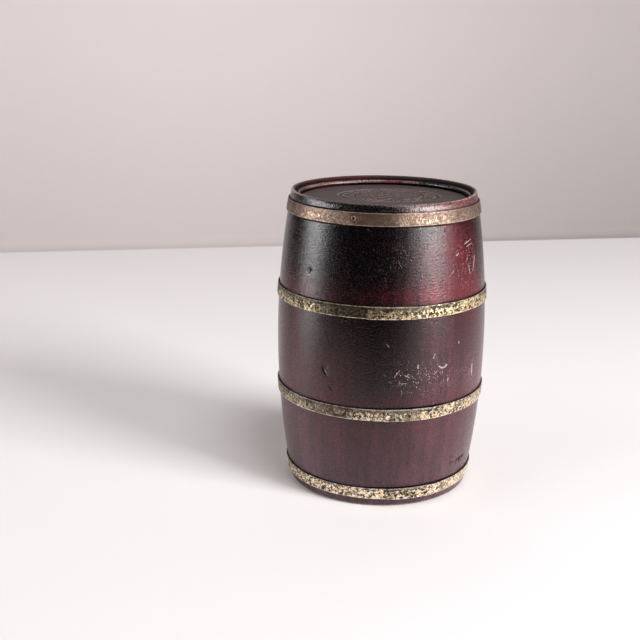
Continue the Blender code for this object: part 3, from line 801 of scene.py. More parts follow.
def bow_side(bm, ends, cuts):
    """Bow the outer edge to the barrel's curve; ends gives the height and the round of both its ends."""
    heights = {round(height, 3) for height, _ in ends}
    sides = [edge for edge in bm.edges if {round(v.co.z / MM, 3) for v in edge.verts} == heights]
    side = min(sides, key=lambda edge: edge.verts[0].co.y)
    foot, head = (v.co.copy() for v in side.verts)
    bmesh.ops.subdivide_edges(bm, edges=[side], cuts=cuts)
    for point in bm.verts:
        share = (point.co.z - foot.z) / (head.z - foot.z)
        if 0.0 <= share <= 1.0 and (point.co - foot.lerp(head, share)).length < 0.001 * MM:
            point.co.y = -barrel_radius(point.co.z)
    for height, radius in ends:
        level = [v for v in bm.verts if abs(v.co.z - height * MM) < 1e-6]
        round_corner(bm, min(level, key=lambda v: v.co.y), radius, 4)


def spin_round(bm, segments):
    """Spin a section once round the axis into a closed skin."""
    bmesh.ops.spin(
        bm, geom=bm.verts[:] + bm.edges[:], cent=(0, 0, 0), axis=(0, 0, 1), angle=math.tau, steps=segments,
        use_merge=True,
    )
    bmesh.ops.remove_doubles(bm, verts=bm.verts, dist=0.0005 * MM)
    bmesh.ops.recalc_face_normals(bm, faces=bm.faces)


def turn_whole(points, rounds, segments=METAL_SEGMENTS, closed=False, steps=5):
    """Draw a section and spin it, for a piece that needs nothing in between."""
    bm = draw_section(points, rounds, closed, steps)
    spin_round(bm, segments)
    return bm


def disc(radius, low, top):
    """The section of a plain disc, from its lower face to its upper one."""
    return [(0.0, low), (radius, low), (radius, top), (0.0, top)]


print("belly:", round(barrel_radius(BARREL_HEIGHT / 2) / MM, 1), "mm")


# %% Making a mesh into a piece
SHARP_ANGLE = 50.0


def add_piece(name, bm, finishes, body, slot, *nodes):
    """Make a mesh into a piece that rides on a body and stands for CAD nodes."""
    piece = to_object(name, bm)
    mesh = piece.data
    mesh.shade_smooth()
    mesh.set_sharp_from_angle(angle=math.radians(SHARP_ANGLE))
    for finish in finishes:
        mesh.materials.append(finish)
    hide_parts(*nodes)
    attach(piece, body)
    mesh.calc_loop_triangles()
    print(name, "has", len(mesh.loop_triangles), "triangles")
    return piece


print("edges are sharp from", SHARP_ANGLE, "degrees")

# %% [markdown]
# ## Where the wear and the painted light lie
# The wear and the painted light are listed as soft patches on the barrel's side. The red shows most on the
# right of the upper third and just above the upper strip, where the right window lights the wood, so there
# it is partly painted light. Scratches and white specks lie where the barrel was picked up, and the bloom,
# partly a painted reflection of the white table, thickens towards the foot. On the front, just above the
# middle, a
# patch is painted as shade: it is made metallic over the dark base, so that it gives back less light. The
# back has patches of its own, so that it isn't plainer.

# %% Where the wear and the painted light lie
RUBBED_AND_LIT = [
    (43, 134, 25, 30, 0.74), (30, 117, 50, 7, 0.40), (-48, 132, 24, 22, 0.20), (-52, 116, 24, 9, 0.35),
    (-62, 95, 26, 22, 0.55), (64, 110, 14, 18, 0.3), (36, 90, 26, 20, 0.2), (-100, 120, 22, 26, 0.6),
    (-150, 90, 26, 20, 0.5), (160, 125, 30, 20, 0.7), (110, 95, 24, 26, 0.5), (58, 160, 22, 6, 0.5),
    (-140, 162, 50, 6, 0.4),
]
SCUFFED = [
    (24, 74, 20, 9, 1.0), (52, 133, 11, 16, 0.9), (57, 73, 6, 10, 0.9), (14, 92, 24, 14, 0.2),
    (14, 139, 9, 9, 0.2), (8, 130, 20, 24, 0.3), (-130, 70, 26, 16, 0.9), (150, 120, 24, 20, 0.8),
    (-75, 40, 30, 14, 0.5), (180, 40, 40, 14, 0.6), (0, 160, 180, 8, 0.3),
]
SHADED_FRONT = [(18, 102, 40, 24, 0.34)]


def clamp(value, low=0.0):
    """A value held between low and 1."""
    return min(max(value, low), 1.0)


def bell(value, power=2):
    """A soft hump: 1 at 0, and next to nothing beyond 2 on either side."""
    return math.exp(-(value**power))


def wrap(angle):
    """An angle in degrees, brought between -180 and 180."""
    return (angle + 180.0) % 360.0 - 180.0


def azimuth_of(place):
    """Degrees from the front, towards +X."""
    return math.degrees(math.atan2(place.x, -place.y))


def patches(azimuth, height, spots):
    """Sum of soft patches, each (azimuth, height, half width in degrees, half height in mm, strength)."""
    total = 0.0
    for centre, level, wide, tall, strength in spots:
        total += strength * bell(wrap(azimuth - centre) / wide) * bell((height - level) / tall)
    return total


def bloom_at(azimuth, height):
    """The bloom and the painted table reflection grow towards the foot, and are weaker in the middle, on the
    right and at the lower left.
    """
    rise = clamp((111.0 - height) / 46.0)
    front = bell(azimuth / 28.0) * clamp((height - 10.0) / 60.0, 0.6)
    right = bell((azimuth - 45.0) / 30.0)
    left = bell((azimuth + 82.0) / 22.0) * clamp((62.0 - height) / 20.0)
    return rise * (0.88 - 0.78 * front - 0.14 * right - 0.35 * left)


def paint(bm, name, amount):
    """Store a value between 0 and 1 on every point, from its azimuth and its height in mm."""
    layer = bm.verts.layers.float.new(name)
    for point in bm.verts:
        point[layer] = clamp(amount(azimuth_of(point.co), point.co.z / MM))


def paint_patches(bm, **lists):
    """Paint each named value as a sum of soft patches."""
    for name, spots in lists.items():
        paint(bm, name, lambda azimuth, height: patches(azimuth, height, spots))


print("patches:", len(RUBBED_AND_LIT) + len(SCUFFED) + len(SHADED_FRONT))

# %% [markdown]
# ## The barrel
# The barrel is one piece of wood, hollowed to take the liner, with a ledge for its bottom. Its outside is
# drawn with many points up the side, so that knocks can be pressed into it as shape: each point near a
# knock is moved straight in, by less the further off it is. The faces inside get the bare wood.

# %% Knocks in the wood
DENTS = [
    (-42, 127.4, 1.5, 0.8), (-29.4, 78.3, 1.8, 0.9), (-28.0, 74.8, 1.2, 0.8), (48.3, 20.2, 1.2, 0.5),
    (54.4, 20.1, 1.2, 0.6), (57.8, 20.1, 1.6, 0.7), (61.2, 20.7, 1.2, 0.6), (34.0, 72.0, 1.8, 0.3),
    (120, 60, 2.2, 0.5), (-120, 130, 1.8, 0.4), (170, 80, 2.0, 0.45), (-80, 30, 1.6, 0.4),
    (140, 135, 1.5, 0.35),
]


def press_dents(bm):
    """Press the knocks into the wood: (azimuth, height in mm, radius in mm, depth in mm)."""
    for azimuth, height, radius, depth in DENTS:
        away = outward(azimuth)
        centre = away * barrel_radius(height * MM) + UP * (height * MM)
        for point in bm.verts:
            gap = (point.co - centre).length / (radius * MM)
            if gap < 2.0:
                point.co -= away * depth * MM * math.exp(-2.0 * gap * gap)


def shade_in_knocks_at(azimuth, height):
    """Painted shade lies in the deeper knocks."""
    spots = []
    for centre, level, radius, depth in DENTS:
        wide = math.degrees(radius * MM / BILGE_RADIUS)
        spots.append((centre, level, wide * 0.6, radius * 0.6, depth * 1.3 - 0.3))
    return patches(azimuth, height, spots)


def unroll(bm):
    """Lay the side out flat as a UV map, in metres: round the barrel, and up it."""
    layer = bm.loops.layers.uv.new("around")
    for face in bm.faces:
        middle = azimuth_of(face.calc_center_median())
        for loop in face.loops:
            turn = wrap(azimuth_of(loop.vert.co) - middle)
            loop[layer].uv = (math.radians(middle + turn) * BILGE_RADIUS, loop.vert.co.z)


print("knocks:", len(DENTS))

# %% The barrel
FIT = 0.3                        # room left between pieces that are put together, in mm
MOUTH_HEIGHT, MOUTH_ROUND, FOOT_ROUND = 153.05, 0.4, 0.9
BORE, LEDGE_WIDTH, LEDGE_HEIGHT = 44.74, 4.6, 5.0
FLANGE_SEAT, FLANGE_DEPTH = 46.94, 1.1
SIDE_CUTS = 132
OUTER_SHARE = 0.965              # of the barrel's radius: what lies further in is bare

section = [
    (BORE - LEDGE_WIDTH, 0.0), (END_RADIUS / MM, 0.0), (barrel_radius(MOUTH_HEIGHT * MM) / MM, MOUTH_HEIGHT),
    (FLANGE_SEAT, MOUTH_HEIGHT), (FLANGE_SEAT, MOUTH_HEIGHT - FLANGE_DEPTH),
    (BORE, MOUTH_HEIGHT - FLANGE_DEPTH), (BORE, LEDGE_HEIGHT), (BORE - LEDGE_WIDTH, LEDGE_HEIGHT),
]
bm = draw_section(section, closed=True)
bow_side(bm, ((0.0, FOOT_ROUND), (MOUTH_HEIGHT, MOUTH_ROUND)), SIDE_CUTS)
spin_round(bm, WOOD_SEGMENTS)
press_dents(bm)
paint_patches(bm, rub=RUBBED_AND_LIT, scuff=SCUFFED, sunk=SHADED_FRONT)
paint(bm, "bloom", bloom_at)
paint(bm, "dirt_and_shade", shade_in_knocks_at)
paint(bm, "edge", lambda azimuth, height: 0.5 if height < FOOT_ROUND else 0.0)
unroll(bm)
for face in bm.faces:
    centre = face.calc_center_median()
    if centre.xy.length < barrel_radius(centre.z) * OUTER_SHARE or centre.z < 0.05 * MM:
        face.material_index = 1
add_piece("turned_barrel", bm, (old_lacquer, bare_wood), "barrel", "lacquer", "barrel_body")

# %% [markdown]
# ## The lid
# The lid carries the barrel's curve on to a narrow ridge, bevels in from it, and drops to the sunk disc.
# The worn nose between the bevel and that drop catches the light as a thin bright line. At the front, where
# the lid is gripped, the ridge has worn nearly a millimetre lower than at the back. Below, a spigot
# goes into the liner, with a groove for the cork and a hollow for the humidifier.

# %% The lid's shape
SHEET = 0.8                      # thickness of the liner, the dish and the cover
LINER_INSIDE = BORE - FIT - SHEET
PARTING = MOUTH_HEIGHT + FIT
RIM_HEIGHT = round(BARREL_HEIGHT / MM, 3)
PANEL_WALL, RECESS_FLOOR, NOSE_HEIGHT = 45.9, 158.2, 162.2
DROP_EDGE = NOSE_HEIGHT - 0.9
BEVEL_START, BEVEL_MIDDLE, RIDGE_INSIDE = (46.7, 162.83), (47.7, 163.62), 49.45
SPIGOT = LINER_INSIDE - 0.8
SPIGOT_INSIDE, SPIGOT_END = SPIGOT - 4.7, PARTING - 12.0
CORK_GROOVE, CORK_HIGH = SPIGOT - 2.4, PARTING - 2.2
CORK_LOW = CORK_HIGH - 6.5
HOLLOW_TOP = 150.0
RIDGE_ROUND, LID_CUTS = 0.45, 14

section = [
    (0.0, RECESS_FLOOR), (PANEL_WALL, RECESS_FLOOR), (PANEL_WALL, DROP_EDGE), (PANEL_WALL, NOSE_HEIGHT),
    BEVEL_START, BEVEL_MIDDLE, (RIDGE_INSIDE, RIM_HEIGHT), (END_RADIUS / MM, RIM_HEIGHT),
    (barrel_radius(PARTING * MM) / MM, PARTING), (SPIGOT, PARTING), (SPIGOT, CORK_HIGH),
    (CORK_GROOVE, CORK_HIGH), (CORK_GROOVE, CORK_LOW), (SPIGOT, CORK_LOW), (SPIGOT, SPIGOT_END),
    (SPIGOT_INSIDE, SPIGOT_END), (SPIGOT_INSIDE, HOLLOW_TOP), (0.0, HOLLOW_TOP),
]
lid_turning = draw_section(section, {3: 0.6, 6: RIDGE_ROUND, 14: 1.0, 15: 0.5})
bow_side(lid_turning, ((RIM_HEIGHT, RIDGE_ROUND), (PARTING, MOUTH_ROUND)), LID_CUTS)
spin_round(lid_turning, WOOD_SEGMENTS)
print("lid turned:", len(lid_turning.verts), "points")

# %% The lid's wear
# All lists hold (azimuth, value) stops, except the band's patch list, which holds patches. The pale on the
# nose is partly wear and partly a painted highlight along the thin bright line; the pale on the band and the
# patch that lightens it are partly wear and partly a painted highlight where the right window shines. The
# bevel is made darker and matt on both sides.
NOSE_WEAR_AND_HIGHLIGHT = [
    (-180, 0.3), (-176, 0.6), (-165, 0.45), (-118, 0.6), (-105, 0.1), (100, 0.0), (150, 0.05), (158, 0.6),
    (163, 0.6), (168, 0.2), (180, 0.3),
]
RED_NOSE = [
    (-180, 0.9), (-178, 0.5), (-100, 0.3), (100, 0.05), (150, 0.05), (160, 0.3), (168, 1.0), (180, 0.9),
]
BARE_RIDGE = [
    (-180, 0.2), (-88, 0.2), (-76, 0.9), (-56, 0.9), (-46, 0.3), (0, 0.2), (10, 0.3), (25, 0.8), (75, 0.8),
    (95, 0.2), (180, 0.2),
]
# Pale on the band: partly wear, partly a painted highlight where the right window shines.
BAND_WEAR_AND_HIGHLIGHT = [
    (-180, 0.1), (5, 0.0), (12, 0.15), (18, 0.45), (34, 0.45), (50, 0.25), (75, 0.12), (100, 0.05),
    (180, 0.1),
]
DARKER_BEVEL_SIDES = [
    (-150, 0.0), (-110, 0.8), (-60, 0.8), (-40, 0.2), (50, 0.2), (70, 0.7), (110, 0.7), (150, 0.0),
]
# Painted highlight: a patch of the paler mauve finish on the band.
BAND_HIGHLIGHT_PATCH = [(48, 161, 26, 10, 0.45)]
RIM_WEAR, RIM_ROUNDING, WORN_FROM = 0.9, 0.8, 49.0
WEAR_MIDDLE, WEAR_HALF = 14.0, 62.0
NOSE_BAND, LID_OUTER_SHARE = 0.7, 0.985


def along_list(azimuth, stops):
    """Read a value between (azimuth, value) stops that run up from low to high azimuth."""
    for (before, low), (after, high) in zip(stops, stops[1:]):
        if before <= azimuth <= after:
            return low + (high - low) * (azimuth - before) / (after - before)
    return stops[-1][1]


def on_nose(point):
    """Whether a point lies on the nose between the bevel and the drop to the disc."""
    near = abs(point.co.z / MM - NOSE_HEIGHT) < NOSE_BAND
    return near and point.co.xy.length < (BEVEL_START[0] - 0.1) * MM


bm = lid_turning
edge = bm.verts.layers.float.new("edge")
dirt_and_shade = bm.verts.layers.float.new("dirt_and_shade")
for point in bm.verts:
    reach, height, azimuth = point.co.xy.length / MM, point.co.z / MM, azimuth_of(point.co)
    if abs(reach - BEVEL_MIDDLE[0]) < 0.1 and height > NOSE_HEIGHT:
        point[dirt_and_shade] = along_list(azimuth, DARKER_BEVEL_SIDES)
    elif height > RIM_HEIGHT - 0.5:
        point[edge] = along_list(azimuth, BARE_RIDGE)
    elif height > PARTING + 0.5 and reach > RIDGE_INSIDE:
        point[edge] = along_list(azimuth, BAND_WEAR_AND_HIGHLIGHT)
    elif on_nose(point):
        point[edge] = along_list(azimuth, NOSE_WEAR_AND_HIGHLIGHT)
for point in bm.verts:
    share = clamp((point.co.z / MM - NOSE_HEIGHT) / (RIM_HEIGHT - NOSE_HEIGHT))
    worn = share * bell((azimuth_of(point.co) - WEAR_MIDDLE) / WEAR_HALF, 6)
    point.co.z -= RIM_WEAR * MM * worn
    if point.co.xy.length > WORN_FROM * MM:
        point.co.xy *= 1.0 - RIM_ROUNDING * MM * worn * share / BILGE_RADIUS
paint_patches(bm, rub=RUBBED_AND_LIT, scuff=SCUFFED, bloom=BAND_HIGHLIGHT_PATCH)
rub = bm.verts.layers.float["rub"]
for point in bm.verts:
    if on_nose(point):
        point[rub] = along_list(azimuth_of(point.co), RED_NOSE)
unroll(bm)
for face in bm.faces:
    centre = face.calc_center_median()
    reach = centre.xy.length
    # The bevel and the drop take the dull copy of the lacquer, as painted shade.
    on_bevel = BEVEL_START[0] * MM < reach < (RIDGE_INSIDE - 0.15) * MM
    on_drop = centre.z < DROP_EDGE * MM and reach < BEVEL_START[0] * MM
    if centre.z < (RECESS_FLOOR + 0.1) * MM and reach < barrel_radius(centre.z) * LID_OUTER_SHARE:
        face.material_index = 1
    elif on_bevel or on_drop:
        face.material_index = 2
add_piece("turned_lid", bm, (handled_lacquer, bare_wood, dull_shaded_lacquer), "lid", "lacquer", "lid_turning")

# %% [markdown]
# ## The head panel
# The disc let into the lid is thin, matt and a little uneven. A shallow oval was pressed into it: here it is
# a plain rope border with a diaper of small lozenges, such as any wood stamp of the time might carry. The
# disc is spun with many fine rings, so that the stamp can be pressed into it as shape. How deep each point
# was pressed is stored too: the finish is painted darker at the bottom of each mark, as painted shade, and
# paler on its sides, as a painted highlight where the walls of the mark catch the light.

# %% The head panel
PANEL_RADIUS, PANEL_BASE = PANEL_WALL - FIT, RECESS_FLOOR + FIT
PANEL_TOP = PANEL_BASE + 1.7
PANEL_SEGMENTS, PANEL_CUTS = 240, 100
STAMP_CENTRE, STAMP_SIZE = (3.0, 8.0), (27.0, 22.0)
STAMP_DEPTH = 0.9
# Reach runs from 0 in the middle of the oval to 1 at its outer line. Each line has its reach and half width.
RING_LINES = ((1.0, 0.05), (0.70, 0.04))
ROPE_TURNS, ROPE_REACH, ROPE_HALF, STRAND_HALF = 20, 0.85, 0.09, 0.36
FIELD_REACH, LOZENGES = 0.62, 3.0


def stamp(x, y):
    """Depth of the pressed oval, from 0 to 1, at a place in mm."""
    u = (x - STAMP_CENTRE[0]) / STAMP_SIZE[0]
    v = (y - STAMP_CENTRE[1]) / STAMP_SIZE[1]
    reach, turn = math.hypot(u, v), math.atan2(v, u)
    lines = sum(bell((reach - middle) / half) for middle, half in RING_LINES)
    lay = (turn * ROPE_TURNS / math.tau + (reach - ROPE_REACH) * 3.0) % 1.0 - 0.5
    strand = max(0.0, 1.0 - (lay / STRAND_HALF) ** 2)
    strand *= max(0.0, 1.0 - ((reach - ROPE_REACH) / ROPE_HALF) ** 2)
    lozenge = 0.0
    if reach < FIELD_REACH:
        p, q = (u + v) * LOZENGES, (u - v) * LOZENGES
        lozenge = max(0.0, 1.0 - 2.4 * max(abs(p % 1.0 - 0.5), abs(q % 1.0 - 0.5)))
    return min(lines + strand + 0.8 * lozenge, 1.0)


section = [(0.0, PANEL_TOP), (PANEL_RADIUS, PANEL_TOP), (PANEL_RADIUS, PANEL_BASE), (0.0, PANEL_BASE)]
bm = draw_section(section, {1: 0.7})
top = next(edge for edge in bm.edges if all(abs(v.co.z - PANEL_TOP * MM) < 1e-7 for v in edge.verts))
bmesh.ops.subdivide_edges(bm, edges=[top], cuts=PANEL_CUTS)
spin_round(bm, PANEL_SEGMENTS)
pressed = bm.verts.layers.float.new("pressed")
for point in bm.verts:
    if point.co.z > (PANEL_TOP - 0.01) * MM:
        depth = stamp(point.co.x / MM, point.co.y / MM)
        ripple = noise.noise(point.co * 90.0) * 0.12
        ripple += noise.noise(Vector((point.co.x * 60, point.co.y * 600, 0))) * 0.03
        point[pressed] = depth
        point.co.z += (ripple - 0.12 - STAMP_DEPTH * depth) * MM
add_piece("head_panel", bm, (stained_head,), "lid", "panel", "lid_head_panel")

# %% [markdown]
# ## The strips
# Each hoop is one flat strip of thin brass, wound round the barrel with its outer end lapped over its inner
# end and a nail through both. It is made as a maker would: a flat bar is cut to length, its long edges are
# eased with a bevel, it is divided along its length, and then it is wound on. Winding moves each point to
# its azimuth and lifts it off the wood, and over the lap it is lifted by one more thickness. The wood has
# shrunk since, so the strips stand a little clear of it, with a dark gap along the upper edge.

# %% Cutting and winding a strip
STRIP_WIDTH, STRIP_THICKNESS = 6.4, 0.45
STANDOFF, LAP_GAP = 0.5, 0.25
LAP_LENGTH, LAP_RAMP = 24.0, 13.0
STRIP_CUTS, WIDTH_CUTS = 420, 5
EDGE_EASE, STRIP_WAVE = 0.12, 0.12
NAIL_DIRT = 1.9


def cut_bar():
    """A flat bar along X, one unit long, with eased edges and many cross cuts."""
    bm = bmesh.new()
    bmesh.ops.create_cube(bm, size=1.0)
    bmesh.ops.translate(bm, vec=(0.5, 0.5, 0.0), verts=bm.verts)
    bmesh.ops.scale(bm, vec=(1.0, STRIP_THICKNESS * MM, STRIP_WIDTH * MM), verts=bm.verts)
    upright = [edge for edge in bm.edges if abs(edge.verts[0].co.z - edge.verts[1].co.z) > MM]
    bmesh.ops.subdivide_edges(bm, edges=upright, cuts=WIDTH_CUTS, use_grid_fill=True)
    long = [edge for edge in bm.edges if abs(edge.verts[0].co.x - edge.verts[1].co.x) > 0.5]
    corners = [edge for edge in long if abs(abs(edge.verts[0].co.z) - STRIP_WIDTH * MM / 2) < 1e-7]
    bmesh.ops.bevel(
        bm, geom=corners, offset=EDGE_EASE * MM, segments=2, profile=0.5, affect="EDGES", material=-1
    )
    long = [edge for edge in bm.edges if abs(edge.verts[0].co.x - edge.verts[1].co.x) > 0.5]
    bmesh.ops.subdivide_edges(bm, edges=long, cuts=STRIP_CUTS, use_grid_fill=True)
    return bm


def wind_strip(bm, low, start, nail, stops, seed):
    """Wind the bar round the wood from an azimuth, and note how rubbed each point is."""
    across = bm.verts.layers.float.new("across")
    bright = bm.verts.layers.float.new("bright")
    dirt_and_shade = bm.verts.layers.float.new("dirt_and_shade")
    middle = low + STRIP_WIDTH * MM / 2
    turn = 360.0 + math.degrees(LAP_LENGTH * MM / barrel_radius(middle))
    lap_end = 1.0 - 360.0 / turn
    ramp = LAP_RAMP * MM / barrel_radius(middle) / math.radians(turn)
    for point in bm.verts:
        share, depth, height = point.co
        azimuth = start + turn * share
        down = clamp((share - lap_end) / ramp)
        down = down * down * (3.0 - 2.0 * down)
        lift = (STANDOFF + (STRIP_THICKNESS + LAP_GAP) * (1.0 - down)) * MM
        away = outward(azimuth)
        wave = noise.noise(away * 3.0 + Vector((seed, height * 40.0, 0.0))) * STRIP_WAVE * MM
        hand_cut = noise.noise(away * 9.0 + Vector((seed, 5.0, 0.0))) * STRIP_WAVE * MM
        hand_cut *= 2.0 * height / STRIP_WIDTH / MM
        point[across] = height / (STRIP_WIDTH * MM) + 0.5
        point[bright] = along_list(wrap(azimuth), stops)
        aside = math.radians((azimuth - nail + 45.0) % 90.0 - 45.0) * barrel_radius(middle)
        point[dirt_and_shade] = 0.9 * bell(math.hypot(aside, height) / (NAIL_DIRT * MM), 4)
        level = middle + height + hand_cut * 0.5
        reach = barrel_radius(level) + lift + depth + min(wave, 0.0)
        point.co = away * reach + UP * level
    bmesh.ops.recalc_face_normals(bm, faces=bm.faces)


print("strip:", STRIP_WIDTH, "by", STRIP_THICKNESS, "mm")

# %% The strips
BRIGHT_LID = [
    (-180, 0.3), (-80, 0.2), (-56, 0.2), (-50, 0.40), (-24, 0.42), (-20, 0.3), (-8, 0.1), (6, 0.15),
    (18, 0.38), (40, 0.44), (52, 0.42), (70, 0.35), (120, 0.35), (180, 0.3),
]
BRIGHT_UPPER = [
    (-180, 0.4), (-120, 0.6), (-80, 0.5), (-62, 0.45), (-40, 0.4), (-30, 0.15), (-20, 0.08), (-10, 0.08),
    (-5, 0.18), (14, 0.32), (18, 0.3), (24, 0.5), (35, 0.6), (50, 0.85), (62, 0.85), (90, 0.4), (140, 0.7),
    (180, 0.4),
]
BRIGHT_LOWER = [
    (-180, 0.5), (-130, 0.4), (-80, 0.35), (-60, 0.2), (-52, 0.35), (-42, 0.22), (-30, 0.16), (-26, 0.15),
    (-16, 0.2), (-12, 0.5), (5, 0.56), (8, 0.27), (21, 0.25), (23, 0.6), (35, 0.7), (48, 0.85), (65, 0.9),
    (80, 0.7), (120, 0.5), (180, 0.5),
]
BRIGHT_BASE = [
    (-180, 0.6), (-120, 0.5), (-80, 0.75), (-30, 0.85), (-12, 0.9), (3, 0.8), (5, 0.3), (10, 0.34),
    (12, 0.7), (15, 0.58), (21, 0.56), (24, 0.74), (34, 0.85), (45, 0.91), (75, 0.92), (90, 0.75),
    (130, 0.5), (180, 0.6),
]
# Each strip: its label, the body that it is nailed to, the azimuth of the nail through its lap, how far the
# outer end reaches past that nail in degrees, the finish, and how rubbed it is along its length.
STRIPS = [
    ("lid", "lid", -16.2, 5.7, dull_brass, BRIGHT_LID),
    ("upper", "barrel", 13.0, 20.0, worn_brass, BRIGHT_UPPER),
    ("lower", "barrel", 16.0, 13.0, pale_brass, BRIGHT_LOWER),
    ("base", "barrel", 18.0, 11.3, pitted_brass, BRIGHT_BASE),
]
for number, (label, body, nail_azimuth, reach, finish, stops) in enumerate(STRIPS):
    node = "hoop_" + label
    bm = cut_bar()
    wind_strip(bm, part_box(node)[0].z, nail_azimuth - reach, nail_azimuth, stops, 10.0 * number)
    add_piece("strip_" + label, bm, (finish,), body, "brass", node)

# %% [markdown]
# ## The nails
# Four round-headed nails hold each strip, a quarter turn apart, and the first goes through the lap. Each is
# spun about its own axis with its shank and point, and then set square to the wood at its place. The rim
# of the head is marked in the attribute edge, where the finish shows a pale brass ring, partly bare brass
# and partly a painted highlight.

# %% The nails
NAILS_PER_STRIP = 4
NAIL_SEGMENTS = 28
NAIL_HEAD, NAIL_RISE, NAIL_SHANK, NAIL_BITE, NAIL_POINT = 1.25, 0.55, 0.5, 5.0, 1.2


def nail_seat(azimuth, height):
    """A frame on the wood's surface, its Z straight out of the wood."""
    slope = -8.0 * (BILGE_RADIUS - END_RADIUS) * (height - BARREL_HEIGHT / 2) / BARREL_HEIGHT**2
    away = outward(azimuth)
    foot = away * barrel_radius(height) + UP * height
    return Matrix.Translation(foot) @ face_along((away - UP * slope).normalized())


def make_nail(seat):
    """A nail along Z, its head's underside at height seat in mm."""
    top = seat + NAIL_RISE
    points = [
        (0.0, top), (NAIL_HEAD * 0.62, top - 0.05), (NAIL_HEAD, seat + 0.18), (NAIL_HEAD, seat),
        (NAIL_SHANK, seat), (NAIL_SHANK, NAIL_POINT - NAIL_BITE), (0.0, -NAIL_BITE),
    ]
    bm = turn_whole(points, {1: 0.35, 2: 0.12}, NAIL_SEGMENTS, steps=3)
    edge = bm.verts.layers.float.new("edge")
    for point in bm.verts:
        reach = point.co.xy.length / (NAIL_HEAD * MM)
        point[edge] = clamp((reach - 0.66) / 0.3) if point.co.z > seat * MM else 0.0
    return bm


for label, body, nail_azimuth, *_ in STRIPS:
    level = (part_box("hoop_" + label)[0].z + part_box("hoop_" + label)[1].z) / 2
    for number in range(NAILS_PER_STRIP):
        layers = 2 if number == 0 else 1
        seat = STANDOFF + layers * STRIP_THICKNESS + (layers - 1) * LAP_GAP + 0.02
        bm = make_nail(seat)
        bmesh.ops.transform(bm, matrix=nail_seat(nail_azimuth + 90.0 * number, level), verts=bm.verts)
        name = "{}_{}".format(label, number + 1)
        add_piece("brass_nail_" + name, bm, (tarnished_nail,), body, "nail", "nail_" + name)

# %% [markdown]
# ## Inside the barrel
# The bottom is a plain disc on its ledge. The liner is a spun cup: its flange lies in the mouth with a
# rolled edge, and its foot has a generous corner, as spinning needs. Neither is seen until the lid is off.

# %% Inside the barrel
BOTTOM_LOW = LEDGE_HEIGHT + FIT
BOTTOM_TOP = BOTTOM_LOW + 6.0
CUP_OUTSIDE, CUP_LOW = BORE - FIT, BOTTOM_TOP + FIT
FLANGE_RADIUS, FLANGE_LOW = FLANGE_SEAT - FIT, MOUTH_HEIGHT - SHEET

bm = turn_whole(disc(CUP_OUTSIDE, BOTTOM_LOW, BOTTOM_TOP), {1: 0.4, 2: 0.8}, steps=3)
add_piece("bottom_disc", bm, (bare_wood,), "barrel", "bare_wood", "bottom_head")

section = [
    (0.0, CUP_LOW), (CUP_OUTSIDE, CUP_LOW), (CUP_OUTSIDE, FLANGE_LOW), (FLANGE_RADIUS, FLANGE_LOW),
    (FLANGE_RADIUS, MOUTH_HEIGHT), (LINER_INSIDE, MOUTH_HEIGHT), (LINER_INSIDE, CUP_LOW + SHEET),
    (0.0, CUP_LOW + SHEET),
]
bm = turn_whole(section, {1: 3.0, 3: 0.35, 4: 0.35, 5: 0.6, 6: 2.2}, steps=6)
add_piece("spun_liner", bm, (tinned_liner,), "barrel", "liner", "liner_cup")

# %% [markdown]
# ## Under the lid
# A ring of granular cork closes the lid against the liner. In the hollow a shallow dish is screwed to the
# wood, and a perforated cap is pressed over it to hold a wet felt pad. The cap's holes and the screws' slots
# are cut with a Boolean, which is applied at once. The pad is soft, so its edges are crowned and uneven.

# %% The cork ring and the dish
CORK_INSIDE, CORK_OUTSIDE = CORK_GROOVE + FIT, LINER_INSIDE - FIT
DISH_RADIUS, DISH_DEPTH = 35.14, 8.0
DISH_INSIDE = DISH_RADIUS - SHEET
DISH_TOP = HOLLOW_TOP - FIT
DISH_FLOOR, DISH_LIP = DISH_TOP - SHEET, DISH_TOP - DISH_DEPTH

section = [
    (CORK_INSIDE, CORK_LOW + FIT), (CORK_OUTSIDE, CORK_LOW + FIT), (CORK_OUTSIDE, CORK_HIGH - FIT),
    (CORK_INSIDE, CORK_HIGH - FIT),
]
bm = turn_whole(section, {1: 0.6, 2: 0.6}, closed=True, steps=3)
for point in bm.verts:
    if point.co.xy.length > 42.0 * MM:
        point.co.xy *= 1.0 - 0.0016 * abs(noise.noise(point.co * 900.0))
add_piece("cork_ring", bm, (granular_cork,), "lid", "cork", "cork_seal")

section = [
    (0.0, DISH_FLOOR), (DISH_INSIDE, DISH_FLOOR), (DISH_INSIDE, DISH_LIP), (DISH_RADIUS, DISH_LIP),
    (DISH_RADIUS, DISH_TOP), (0.0, DISH_TOP),
]
bm = turn_whole(section, {1: 0.8, 2: 0.25, 3: 0.25, 4: 1.6})
add_piece("pressed_dish", bm, (plated_sheet,), "lid", "plated", "humidifier_dish")


# %% The screws
def cut_away(bm, cutter):
    """Cut one mesh out of another with an exact Boolean, applied at once."""
    kept, tool = to_object("kept", bm), to_object("cutter", cutter)
    boolean = kept.modifiers.new("cut", "BOOLEAN")
    boolean.operation, boolean.solver, boolean.object = "DIFFERENCE", "EXACT", tool
    result = bmesh.new()
    result.from_object(kept, bpy.context.evaluated_depsgraph_get())
    for item in (kept, tool):
        bpy.data.objects.remove(item, do_unlink=True)
    return result


